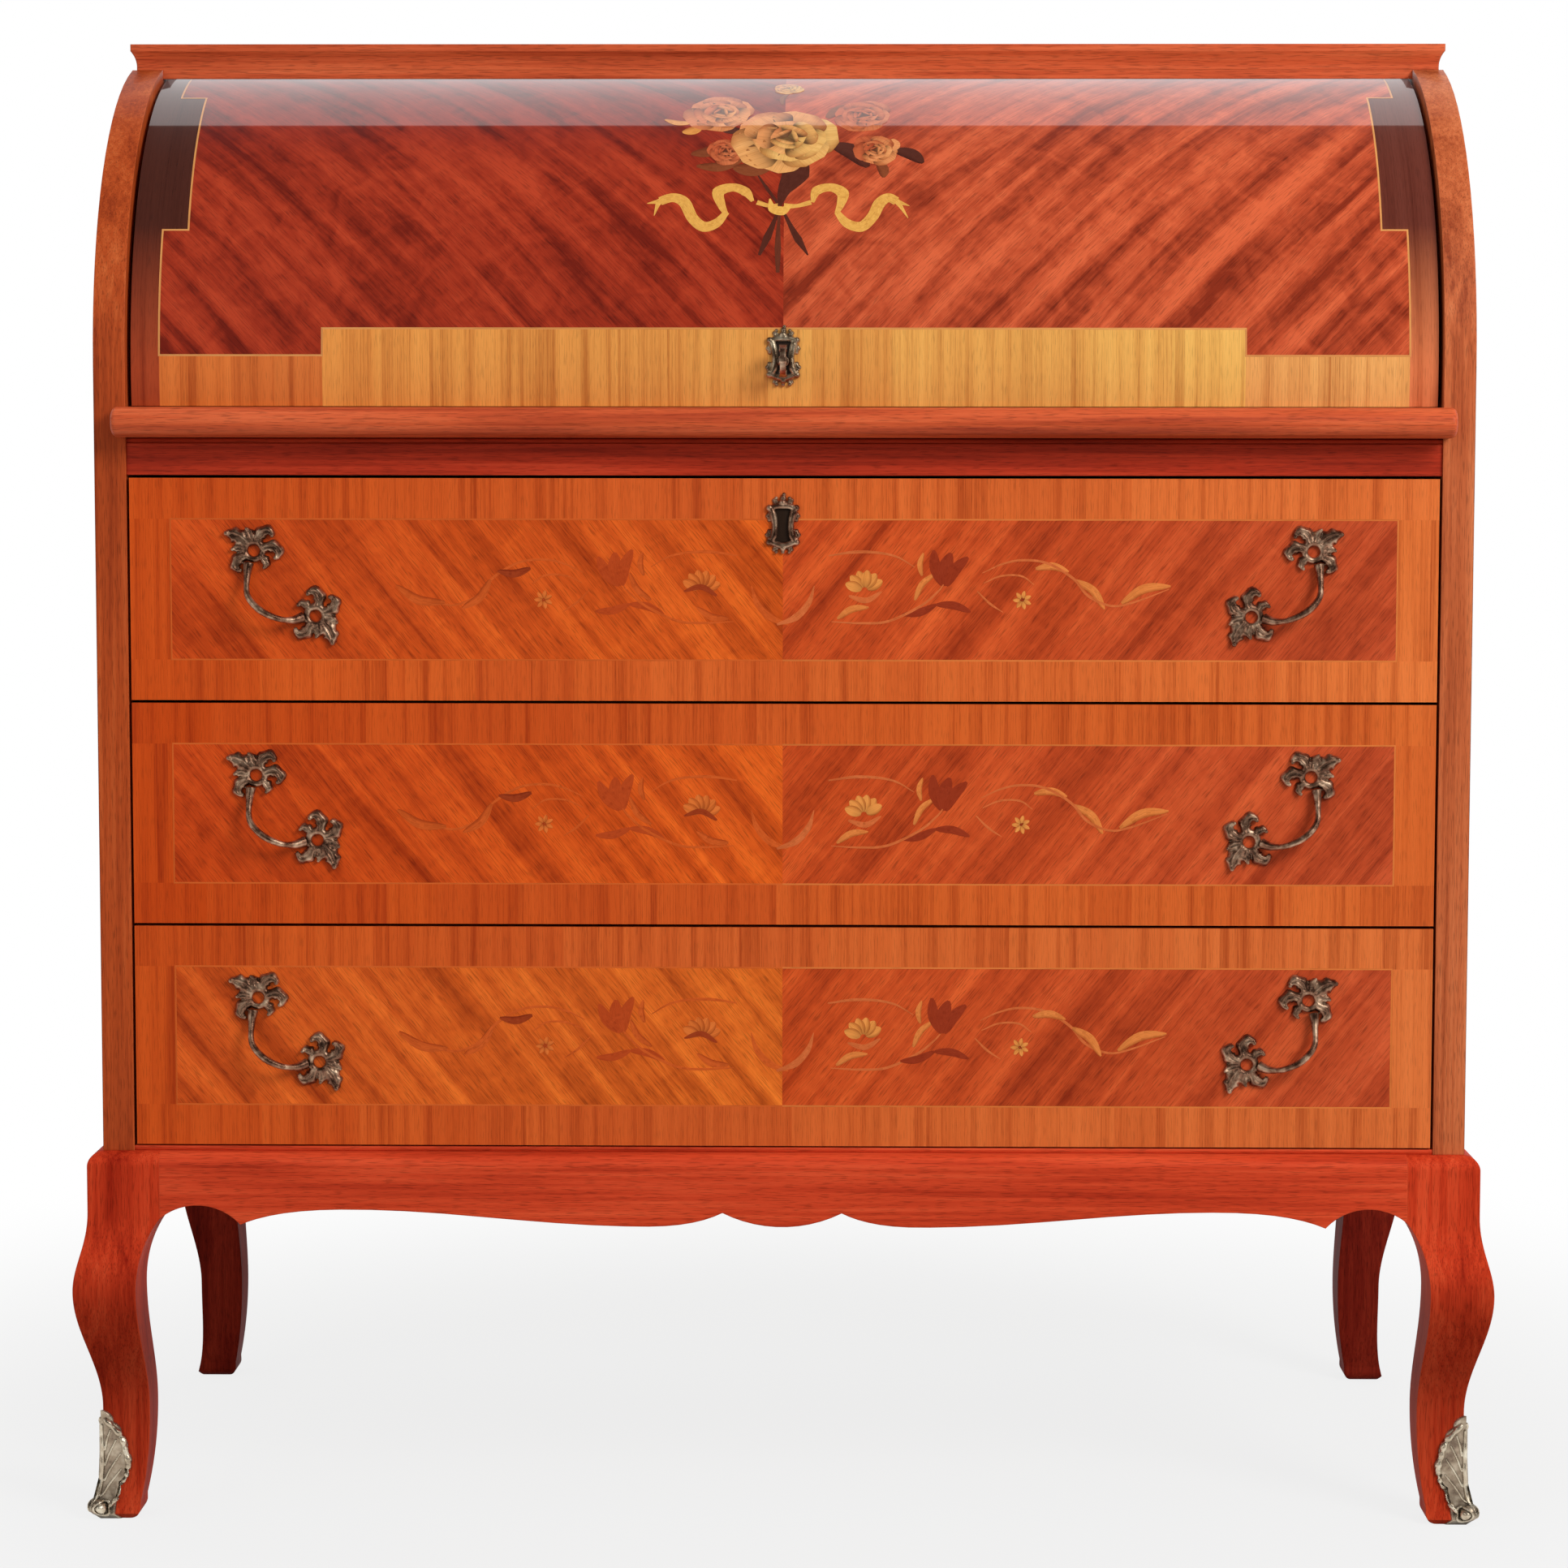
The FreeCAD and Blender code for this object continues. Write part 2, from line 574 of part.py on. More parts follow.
def cornice_profile(lip, inward):
    """Section of the moulding: lip is the place of its lip, inward the sign that leads away from it."""
    foot = f"{lip} {inward} dims.cornice_flare"
    inner = f"{lip} {inward} {CORNICE_WIDTH}"
    lip_foot = "dims.cornice_height - dims.cornice_lip"
    if inward == "+":
        return [
            (lip, "dims.cornice_height"),
            (lip, lip_foot, "-dims.cornice_hollow"),
            (foot, "dims.cornice_foot"),
            (foot, "0"),
            (inner, "0"),
            (inner, "dims.cornice_height"),
        ]
    return [
        (lip, "dims.cornice_height"),
        (inner, "dims.cornice_height"),
        (inner, "0"),
        (foot, "0"),
        (foot, "dims.cornice_foot", "-dims.cornice_hollow"),
        (lip, lip_foot),
    ]


def cornice_front():
    piece = body("cornice_front")
    pad(piece, outline(piece, "YZ_Plane", cornice_profile(LIP_FRONT, "+")), f"2 * {LIP_HALF}", "Symmetric")
    for sign in ("", "-"):
        corners = [
            (f"{sign}{LIP_HALF}", LIP_FRONT),
            (f"{sign}{LIP_HALF}", PANEL_FRONT),
            (f"{sign}{PANEL_HALF}", PANEL_FRONT),
        ]
        pocket(piece, outline(piece, "XY_Plane", corners), "4 * dims.cornice_height")
    return place(piece, z=SIDE_TOP)


def cornice_side():
    piece = body("cornice_right")
    profile = outline(piece, "XZ_Plane", cornice_profile(LIP_HALF, "-"), f"-{LIP_FRONT}")
    pad(piece, profile, f"dims.carcase_depth - {LIP_FRONT}", reverse=True)
    corners = [(PANEL_HALF, LIP_FRONT), (LIP_HALF, LIP_FRONT), (PANEL_HALF, PANEL_FRONT)]
    pocket(piece, outline(piece, "XY_Plane", corners), "4 * dims.cornice_height")
    return place(piece, z=SIDE_TOP)


keep(cornice_front())
right_cornice = keep(cornice_side())
keep(mirrored("cornice_left", right_cornice))

# Base: double-sawn cabriole legs, shaped aprons, back rail and glue blocks

def leg_curves(sign, outset):
    """Outline of a leg on one face; distances count outwards from the base's face."""
    top = mm("dims.base_height")
    shoulder = top - mm("dims.shoulder_drop")
    rounding = mm("dims.base_round")
    knee = top - mm("dims.knee_drop")
    ankle = mm("dims.ankle_height")
    toe = mm("dims.toe_rise")
    heel = mm("dims.heel_height")
    block = -mm("dims.leg_block")
    knee_out = mm("dims.knee_swell")
    ankle_out = -mm("dims.ankle_set")
    toe_out = -mm("dims.toe_set")
    knee_in = knee_out - mm("dims.knee_width")
    ankle_in = ankle_out - mm("dims.ankle_width")
    heel_in = toe_out - mm("dims.toe_width")
    heel_round = mm("dims.heel_round")
    corner = rounding * (1 - math.sqrt(0.5))
    down = (0, -1)
    up = (0, 1)

    def points(*pairs):
        return [(sign * pair[0], pair[1]) for pair in pairs]

    outer = points(
        (outset, shoulder), (outset + knee_out, knee), (outset + ankle_out, ankle), (outset + toe_out, toe)
    )
    arch_foot = top - mm("dims.arch_foot_drop")
    inner = points((heel_in, heel), (ankle_in, ankle), (knee_in, knee), (block, arch_foot))
    crown = points(
        (block, top), (outset - rounding, top), (outset - corner, top - corner), (outset, top - rounding)
    )
    sole = points((outset + toe_out - toe, 0), (heel_in + heel_round, 0))
    heel_middle = points((heel_in + heel_round * (1 - math.sqrt(0.5)), heel_round * (1 - math.sqrt(0.5))))[0]
    heel_start = points((heel_in, heel_round))[0]
    return [
        line(crown[0], crown[1]),
        arc(crown[1], crown[2], crown[3]),
        line(crown[3], outer[0]),
        spline(outer, [down, down, down, (sign * 0.3, -1)]),
        line(outer[3], sole[0]),
        line(sole[0], sole[1]),
        arc(sole[1], heel_middle, heel_start),
        line(heel_start, inner[0]),
        spline(inner, [(-sign * HEEL_LEAN, 1), up, up, (-sign * 0.8, 1)]),
        line(inner[3], crown[0]),
    ]


def frame_round(reach, top):
    """Rectangle about a leg, so that a cut takes away all that lies outside the leg's outline."""
    corners = [(-reach, -reach), (reach, -reach), (reach, top), (-reach, top)]
    return [line(corners[index], corners[(index + 1) % 4]) for index in range(4)]


def leg(label, outset=0.0):
    """Leg sawn from the front and then from the side, at the front right corner."""
    piece = body(label)
    pad(piece, curve_sketch(piece, "XZ_Plane", leg_curves(1, outset)), "4 * dims.leg_block", "Symmetric")
    waste = frame_round(3 * mm("dims.leg_block"), 2 * mm("dims.base_height"))
    pocket(piece, curve_sketch(piece, "YZ_Plane", waste + leg_curves(-1, outset)), "4 * dims.leg_block")
    return place(piece, BASE_HALF, "(-dims.base_overhang)")


MID_DEPTH = f"{FRONT} + dims.carcase_depth / 2"
front_leg = keep(leg("leg_front_right"))
keep(mirrored("leg_front_left", front_leg))
back_leg = keep(mirrored("leg_back_right", front_leg, (0, 1, 0), MID_DEPTH))
keep(mirrored("leg_back_left", back_leg))


def arch_points(end):
    """Arch of an apron beside the leg, from the leg to the cusp; end is where the leg starts."""
    top = mm("dims.base_height")
    foot = (end, top - mm("dims.arch_foot_drop"))
    crown = (end - mm("dims.arch_set"), top - mm("dims.arch_crown_drop"))
    cusp = (end - mm("dims.cusp_set"), top - mm("dims.cusp_drop"))
    return [foot, crown, cusp]


def flipped(points):
    """The same points on the other side of the middle, in the opposite order."""
    return [(-across, up) for across, up in reversed(points)]


def apron_curves(end, lobed):
    """Outline of an apron whose middle is at 0 and whose ends are at +end and -end."""
    top = mm("dims.base_height")
    arch = arch_points(end)
    crest = (end - mm("dims.crest_set"), top - mm("dims.crest_drop"))
    left_arch = flipped(arch)
    curves = [line((-end, top), (end, top)), line((end, top), arch[0]), arc(*arch)]
    if lobed:
        lobe = (mm("dims.lobe_set"), top - mm("dims.lobe_drop"))
        notch = (mm("dims.scallop_reach"), top - mm("dims.scallop_drop"))
        sweep = [arch[2], crest, lobe, notch]
        slopes = [(-1, 0.42), (-1, 0), (-1, 0), (-1, 0.5)]
        back_slopes = [(-1, -0.5), (-1, 0), (-1, 0), (-1, -0.42)]
        curves.append(spline(sweep, slopes))
        curves.append(arc(notch, (0, lobe[1]), (-notch[0], notch[1])))
        curves.append(spline(flipped(sweep), back_slopes))
    else:
        curves.append(arc(arch[2], (0, crest[1]), left_arch[0]))
    curves.append(arc(*left_arch))
    curves.append(line(left_arch[2], (-end, top)))
    return curves


def front_apron():
    piece = body("front_apron")
    sketch = curve_sketch(piece, "XZ_Plane", apron_curves(mm(LEG_INNER), True))
    board_pad = pad(piece, sketch, "dims.apron_thickness", reverse=True)
    top = mm("dims.base_height")
    round_edges(piece, board_pad, "dims.base_round", lambda middle: at(middle.z, top) and at(middle.y, 0))
    return place(piece, y="(-dims.base_overhang)")


def side_apron():
    piece = body("side_apron_right")
    half_span = mm(f"({BACK_LEG_FRONT} - {LEG_REAR}) / 2")
    sketch = curve_sketch(piece, "YZ_Plane", apron_curves(half_span, False))
    board_pad = pad(piece, sketch, "dims.apron_thickness", reverse=True)
    top = mm("dims.base_height")
    round_edges(piece, board_pad, "dims.base_round", lambda middle: at(middle.z, top) and at(middle.x, 0))
    return place(piece, BASE_HALF, "dims.carcase_depth / 2")


keep(front_apron())
right_apron = keep(side_apron())
keep(mirrored("side_apron_left", right_apron))
BACK_RAIL_SPAN = ("dims.carcase_depth - dims.back_rail_thickness", "dims.carcase_depth")
BACK_RAIL_FOOT = "dims.base_height - dims.back_rail_height"
keep(board("back_rail", (f"-{LEG_INNER}", LEG_INNER), BACK_RAIL_SPAN, (BACK_RAIL_FOOT, "dims.base_height")))


def glue_block(label, face):
    """Triangular block in the corner between a leg and the apron's inner face."""
    piece = body(label)
    corners = [
        (LEG_INNER, face),
        (LEG_INNER, LEG_REAR),
        (f"{LEG_INNER} - ({LEG_REAR} - ({face}))", face),
    ]
    level = "dims.base_height - dims.block_drop - dims.block_height"
    pad(piece, outline(piece, "XY_Plane", corners, level), "dims.block_height")
    return place(piece)


APRON_BACK = "(dims.apron_thickness - dims.base_overhang)"
BATTEN_HALF = f"({LEG_INNER} - ({LEG_REAR} - {APRON_BACK}))"
BATTEN_LEVEL = ("dims.base_height - dims.batten_height", "dims.base_height")
BATTEN_SPAN = (APRON_BACK, f"{APRON_BACK} + dims.batten_depth")
keep(board("front_batten", (f"-{BATTEN_HALF}", BATTEN_HALF), BATTEN_SPAN, BATTEN_LEVEL))
front_block = glue_block("glue_block_front", APRON_BACK)
rear_block = glue_block("glue_block_rear", "dims.back_rail_thickness")
back_block = mirrored("glue_block_back", rear_block, (0, 1, 0), MID_DEPTH)
left_blocks = [mirrored(f"{block.Label}_left", block) for block in (front_block, back_block)]
keep(group("glue_blocks", [front_block, back_block] + left_blocks))


def sabot():
    """Bronze leaf that wraps the outer corner of a front foot, with a ball at the toe."""
    leaf_body = body("sabot_leaf")
    edge = []
    for across, up, scallop in SABOT_EDGE:
        point = [f"{across} * dims.sabot_width / sqrt(2)", f"{up} * dims.sabot_height"]
        if scallop:
            point.append(f"{scallop} * dims.sabot_width")
        edge.append(point)
    corners = [tuple(point) for point in edge]
    corners.append(("0", "dims.sabot_height", f"{SABOT_EDGE[-1][2]} * dims.sabot_width"))
    for index in range(len(edge) - 1, -1, -1):
        mirrored_corner = [f"-({edge[index][0]})", edge[index][1]]
        if index and len(edge[index - 1]) == 3:
            mirrored_corner.append(edge[index - 1][2])
        corners.append(tuple(mirrored_corner))
    pad(leaf_body, outline(leaf_body, "XZ_Plane", corners), "4 * dims.leg_block", "Symmetric")
    leaf_body.Placement.Rotation = FreeCAD.Rotation(FreeCAD.Vector(0, 0, 1), 45)
    place(leaf_body, BASE_HALF, "(-dims.base_overhang)")
    skin = common("sabot_skin", leg("sabot_block", mm("dims.sabot_thickness")), leaf_body)
    out = "(dims.toe_ball_out - dims.toe_set - dims.sabot_thickness)"
    toe = ball("sabot_toe", "dims.toe_ball_radius", f"{BASE_HALF} + {out}", f"(-dims.base_overhang) - {out}",
               "dims.toe_ball_height")
    return cut("sabot_right", fuse("sabot_casting", [skin, toe]), front_leg)


right_sabot = keep(sabot())
keep(mirrored("sabot_left", right_sabot))

# Cast ornament: bevelled leaves, fused into one casting

def leaf(root, tip, breadth, relief, back=0.0):
    """One cast leaf, chiselled down from a flat crest to its edge."""
    def outline_at(share, lift):
        middle = (root + tip) * 0.5 + FreeCAD.Vector(0, -lift, 0)
        along = (tip - root) * share
        across = FreeCAD.Vector(-along.z, 0, along.x).normalize() * (breadth * share)
        half_edge = [middle + along * point[0] + across * point[1] for point in LEAF_OUTLINE]
        return half_edge + [middle + along * point[0] - across * point[1] for point in reversed(LEAF_OUTLINE)]

    def facet(corners):
        return Part.Face(Part.makePolygon(corners + corners[:1]))

    rings = [outline_at(1.0, -back), outline_at(1.0, 0)] if back else [outline_at(1.0, 0)]
    rings.append(outline_at(LEAF_CREST, relief))
    facets = [facet(rings[0]), facet(rings[-1])]
    for near, far in zip(rings, rings[1:]):
        for index in range(len(near)):
            after = (index + 1) % len(near)
            facets.append(facet([near[index], near[after], far[after], far[index]]))
    solid = Part.makeSolid(Part.makeShell(facets))
    return solid if solid.Volume > 0 else solid.reversed()


def flat(across, up):
    """Point on the face that an ornament is fixed to."""
    return FreeCAD.Vector(across, 0, up)


def casting(label, shape):
    """Cast fitting as a document object."""
    piece = doc.addObject("Part::Feature", label)
    piece.Shape = shape
    return piece


def rosette():
    """Leafy end of a handle with a pierced ring; the bail comes out below, at the origin."""
    length = mm("dims.rosette_length")
    relief = mm("dims.rosette_relief")
    out = FreeCAD.Vector(0, -1, 0)
    ring_middle = flat(ROSETTE_RING[1] * length, ROSETTE_RING[0] * length)
    ring = Part.makeCylinder(ROSETTE_RING_RADIUS * length, relief, ring_middle, out)
    leaves = []
    for root, tip, breadth in ROSETTE_LEAVES:
        start = flat(root[1] * length, root[0] * length)
        finish = flat(tip[1] * length, tip[0] * length)
        leaves.append(leaf(start, finish, breadth * length, relief))
    hole = Part.makeCylinder(ROSETTE_HOLE_RADIUS * length, 2 * relief, ring_middle, out)
    return ring.fuse(leaves).cut(hole)


def handle_shape():
    """Fixed pull: two leafy ends joined by a bowed bail, symmetrical about its diagonal."""
    half = mm("dims.bail_span") / 2
    radius = mm("dims.bail_radius")
    upper = rosette()
    upper.translate(flat(-half, half))
    lower = upper.mirror(FreeCAD.Vector(), FreeCAD.Vector(1, 0, -1))
    root_lift = FreeCAD.Vector(0, -mm("dims.rosette_relief") / 2, 0)
    bow = 2 * half * (1 - math.sqrt(0.5))
    crown = FreeCAD.Vector(-bow * math.sqrt(0.5), radius - mm("dims.bail_stand"), -bow * math.sqrt(0.5))
    path = Part.Arc(flat(-half, half) + root_lift, crown, flat(half, -half) + root_lift)
    section = Part.Circle(path.StartPoint, path.tangent(path.FirstParameter)[0], radius)
    bail = Part.Wire([path.toShape()]).makePipe(Part.Face(Part.Wire([section.toShape()])))
    return bail.fuse([upper, lower]).removeSplitter()


def escutcheon_shape(back):
    """Leafy keyhole plate about its keyhole; back is how far it reaches behind the origin."""
    height = mm("dims.escutcheon_height")
    relief = mm("dims.escutcheon_relief")
    shift = -ESCUTCHEON_KEYHOLE * height
    leaves = []
    for root, tip, breadth in ESCUTCHEON_LEAVES:
        start = flat(root[0] * height, root[1] * height + shift)
        finish = flat(tip[0] * height, tip[1] * height + shift)
        leaves.append(leaf(start, finish, breadth * height, relief, back))
    plate = leaves[0].fuse(leaves[1:])
    deep = 4 * (relief + back)
    out = FreeCAD.Vector(0, -1, 0)
    eye = Part.makeCylinder(mm("dims.keyhole_radius"), deep, FreeCAD.Vector(0, deep / 2, 0), out)
    slot_width = mm("dims.keyhole_slot_width")
    slot_length = mm("dims.keyhole_slot_length")
    slot_corner = FreeCAD.Vector(-slot_width / 2, -deep / 2, -slot_length)
    slot = Part.makeBox(slot_width, deep, slot_length, slot_corner)
    return plate.cut([eye, slot]).removeSplitter()


# Cylinder front: a curved shell on two quadrant cheeks that turn on pivot pins

KEY_Z = f"({SHELL_FOOT} + dims.lock_rise)"
SHELL_FACE = f"({AXIS_Y} - {SHELL_RADIUS})"
SHELL_BACK = f"({AXIS_Y} - {SHELL_INNER})"


def sector(owner, outer, inner):
    """Band between two radii, from the foot of the cylinder to its upper end."""
    corners = [
        (*polar(outer, SHELL_LOW_ANGLE), f"-{outer}"),
        polar(outer, "dims.shell_high_angle"),
        (*polar(inner, "dims.shell_high_angle"), inner),
        polar(inner, SHELL_LOW_ANGLE),
    ]
    return outline(owner, "YZ_Plane", corners)


def cylinder_shell():
    shell = body("shell_panel")
    pad(shell, sector(shell, SHELL_RADIUS, SHELL_INNER), f"2 * {SHELL_HALF}", "Symmetric")
    place(shell)
    reach = f"{SHELL_BACK} + dims.shell_thickness"
    drill = rod("shell_drill", "dims.key_hole_radius", reach, "0", "0", KEY_Z, "y")
    return cut("cylinder_shell", shell, drill)


def cheek():
    """Quadrant cheek: the inner edge runs straight from the hub to each end of the shell."""
    plate = body("cheek_plate")
    reach = f"({SHELL_INNER} - dims.seat_gap)"
    low = SHELL_LOW_ANGLE
    high = "dims.shell_high_angle"
    corners = [
        (*polar(reach, low), f"-{reach}"),
        polar(reach, high),
        (*polar("dims.hub_radius", f"({high} + 90)"), "-dims.hub_radius"),
        polar("dims.hub_radius", f"({low} - 90)"),
    ]
    pad(plate, outline(plate, "YZ_Plane", corners), "dims.cheek_thickness")
    place(plate, CHEEK_INNER)
    bore_length = "3 * dims.cheek_thickness"
    bore = rod("cheek_bore", "dims.pin_radius + dims.pin_clearance", bore_length,
               f"{CHEEK_INNER} - dims.cheek_thickness", AXIS_Y, AXIS_Z, "x")
    return cut("cylinder_cheek_right", plate, bore)


def pivot_pin():
    """Pin through the hub into the side panel, with a collar between the two."""
    pin = rod("pivot_shank", "dims.pin_radius", f"{INNER} + dims.pin_depth - {CHEEK_INNER}",
              CHEEK_INNER, AXIS_Y, AXIS_Z, "x")
    collar = rod("pivot_collar", "dims.pin_collar_radius", "dims.shell_end_gap - dims.collar_clearance",
                 f"{SHELL_HALF} + dims.collar_clearance", AXIS_Y, AXIS_Z, "x")
    return fuse("pivot_pin_right", [pin, collar])


keep(cylinder_shell())
right_cheek = keep(cheek())
keep(mirrored("cylinder_cheek_left", right_cheek))
right_pin = pivot_pin()
keep(group("pivot_pins", [right_pin, mirrored("pivot_pin_left", right_pin)]))


def cylinder_escutcheon():
    plate = casting("escutcheon_blank", escutcheon_shape(mm("dims.escutcheon_relief")))
    place(plate, "0", SHELL_FACE, KEY_Z)
    return cut("cylinder_escutcheon", plate, axis_drum("escutcheon_seat", f"{SHELL_RADIUS} + dims.seat_gap"))


def lock_case(label, blank, face):
    """Lock case with a hole for the key and a hollow where its bit turns; face is the case's front."""
    key_z = blank[1]
    hole = rod(f"{label}_hole", "dims.key_shank_radius + dims.lock_clearance", "2 * dims.lock_depth",
               "0", f"{face} - dims.lock_depth / 2", key_z, "y")
    floor = f"{face} + dims.lock_wall"
    hollow = rod(f"{label}_hollow", "dims.lock_hollow", "dims.lock_depth", "0", floor, key_z, "y")
    return cut(label, cut(f"{label}_drilled", blank[0], hole), hollow)


def lock_box(label, face, key_z, above):
    """Plain case behind a face: most of it lies under the keyhole, unless above says how much doesn't."""
    half = "dims.lock_width / 2"
    low = f"{key_z} + {above} - dims.lock_height"
    return board(label, (f"-{half}", half), (face, f"{face} + dims.lock_depth"), (low, f"{key_z} + {above}"))


def cylinder_lock():
    box = lock_box("cylinder_lock_box", f"({SHELL_BACK})", KEY_Z, "dims.lock_height / 2")
    seat = axis_drum("cylinder_lock_seat", f"{SHELL_INNER} - dims.seat_gap")
    return lock_case("cylinder_lock", (common("cylinder_lock_blank", box, seat), KEY_Z), f"({SHELL_BACK})")


keep(cylinder_escutcheon())
keep(cylinder_lock())


def key():
    """Key with a ringed bow, set with beads, that stands upright in the cylinder's lock."""
    tail = f"({SHELL_BACK} + dims.lock_depth - dims.key_end_gap)"
    neck = f"({SHELL_FACE} - dims.escutcheon_relief - dims.key_neck)"
    shank = rod("key_shank", "dims.key_shank_radius", f"{tail} - {neck}", "0", neck, KEY_Z, "y")
    collar = rod("key_collar", "dims.key_collar_radius", "dims.key_collar_length", "0", neck, KEY_Z, "y")
    bow_y = f"({neck} - dims.key_bow_radius)"
    wire = "dims.key_wire_radius"
    disc = rod("key_disc", f"dims.key_bow_radius + {wire}", f"2 * {wire}", f"-{wire}", bow_y, KEY_Z, "x")
    eye = rod("key_eye", f"dims.key_bow_radius - {wire}", f"4 * {wire}", f"-2 * {wire}", bow_y, KEY_Z, "x")
    bead_places = [
        (bow_y, f"{KEY_Z} + dims.key_bow_radius"),
        (bow_y, f"{KEY_Z} - dims.key_bow_radius"),
        (f"{bow_y} - dims.key_bow_radius", KEY_Z),
    ]
    half_bead = "dims.key_bead_radius"
    beads = []
    for index, (bead_y, bead_z) in enumerate(bead_places, start=1):
        bead = rod(f"key_bead_{index}", half_bead, f"2 * {half_bead}", f"-{half_bead}", bead_y, bead_z, "x")
        beads.append(bead)
    bit_half = "dims.key_bit_thickness / 2"
    bit = board("key_bit", (f"-{bit_half}", bit_half), (f"{tail} - dims.key_bit_width", tail),
                (f"{KEY_Z} - dims.key_bit_length", KEY_Z))
    return cut("key", fuse("key_casting", [shank, collar, disc, bit] + beads), eye)


keep(key())

# Writing slide: a board with a half-round nosing that laps the side panels

SLIDE_HALF = f"({INNER} - dims.slide_side_gap)"
SLIDE_BACK = f"({BACK_FACE} - dims.slide_back_gap)"
keep(board("writing_board", (f"-{SLIDE_HALF}", SLIDE_HALF), ("0", SLIDE_BACK), (SLIDE_FOOT, SLIDE_TOP)))


def nosing():
    piece = body("slide_nosing")
    round_start = "-(dims.slide_overhang - dims.nosing_height / 2)"
    corners = [
        ("0", SLIDE_FOOT),
        ("0", f"{SLIDE_FOOT} + dims.nosing_height"),
        (round_start, f"{SLIDE_FOOT} + dims.nosing_height", "dims.nosing_height / 2"),
        ("-dims.slide_overhang", f"{SLIDE_FOOT} + dims.nosing_height / 2", "dims.nosing_height / 2"),
        (round_start, SLIDE_FOOT),
    ]
    bar = pad(piece, outline(piece, "YZ_Plane", corners), f"2 * ({INNER} + dims.nosing_lap)", "Symmetric")
    end = mm(f"{INNER} + dims.nosing_lap")
    round_edges(piece, bar, "dims.nosing_round", lambda middle: at(abs(middle.x), end) and middle.y < -0.01)
    return place(piece)


keep(nosing())

# Pigeonholes on a fixed deck, with a small drawer at each end

UNIT_TOP = f"({DECK_TOP} + dims.unit_height)"
UNIT_REACH = f"({SHELL_INNER} - dims.unit_gap)"
UNIT_BACK = f"({AXIS_Y} + sqrt({UNIT_REACH}^2 - ({UNIT_TOP} - {AXIS_Z})^2))"
UNIT_FRONT = f"({UNIT_BACK} - dims.unit_depth)"
UNIT_HALF = f"({CHEEK_INNER} - dims.unit_side_gap)"
UNIT_ROOF = f"({UNIT_TOP} - dims.unit_board)"
UNIT_SPAN = (UNIT_FRONT, UNIT_BACK)
keep(board("desk_deck", BETWEEN_SIDES, (UNIT_FRONT, BACK_FACE), (DECK_FOOT, DECK_TOP)))
keep(board("pigeonhole_top", (f"-{UNIT_HALF}", UNIT_HALF), UNIT_SPAN, (UNIT_ROOF, UNIT_TOP)))
BAY_INNER = "(dims.unit_divider_reach + dims.unit_board)"
BAY_OUTER = f"({UNIT_HALF} - dims.unit_board)"
uprights = []
for name, start in (("end", BAY_OUTER), ("divider", "dims.unit_divider_reach")):
    across = (start, f"{start} + dims.unit_board")
    upright = board(f"upright_{name}", across, UNIT_SPAN, (DECK_TOP, UNIT_ROOF))
    uprights.append(upright)
    uprights.append(mirrored(f"upright_{name}_left", upright))
keep(group("pigeonhole_uprights", uprights))
SHELF_FOOT = f"({DECK_TOP} + dims.shelf_lift)"
SHELF_LEVEL = (SHELF_FOOT, f"{SHELF_FOOT} + dims.shelf_thickness")
shelf = board("shelf_right", (BAY_INNER, BAY_OUTER), UNIT_SPAN, SHELF_LEVEL)
keep(group("pigeonhole_shelves", [shelf, mirrored("shelf_left", shelf)]))

SMALL_X = (f"{BAY_INNER} + dims.small_gap", f"{BAY_OUTER} - dims.small_gap")
SMALL_Z = (f"{DECK_TOP} + dims.small_rest", f"{SHELF_FOOT} - dims.small_gap")
SMALL_MIDDLE_X = f"(({BAY_INNER} + {BAY_OUTER}) / 2)"
SMALL_MIDDLE_Z = f"(({SMALL_Z[0]} + {SMALL_Z[1]}) / 2)"
TRAY_FRONT = f"({UNIT_FRONT} + dims.small_front_thickness)"


def small_front():
    blank = board("small_front_blank", SMALL_X, (UNIT_FRONT, TRAY_FRONT), SMALL_Z)
    hole = rod("small_front_hole", "dims.tenon_radius + dims.seat_gap", "dims.tenon_length + dims.seat_gap",
               SMALL_MIDDLE_X, UNIT_FRONT, SMALL_MIDDLE_Z, "y")
    return cut("small_drawer_right_front", blank, hole)


def small_tray():
    back = f"{UNIT_BACK} - dims.small_back_gap"
    outer = board("small_tray_blank", SMALL_X, (TRAY_FRONT, back), SMALL_Z)
    inner_x = (f"{SMALL_X[0]} + dims.small_wall", f"{SMALL_X[1]} - dims.small_wall")
    inner_y = (f"{TRAY_FRONT} + dims.small_wall", f"{back} - dims.small_wall")
    inner_z = (f"{SMALL_Z[0]} + dims.small_wall", f"{SMALL_Z[1]} + dims.small_wall")
    return cut("small_drawer_right_tray", outer, board("small_tray_hollow", inner_x, inner_y, inner_z))


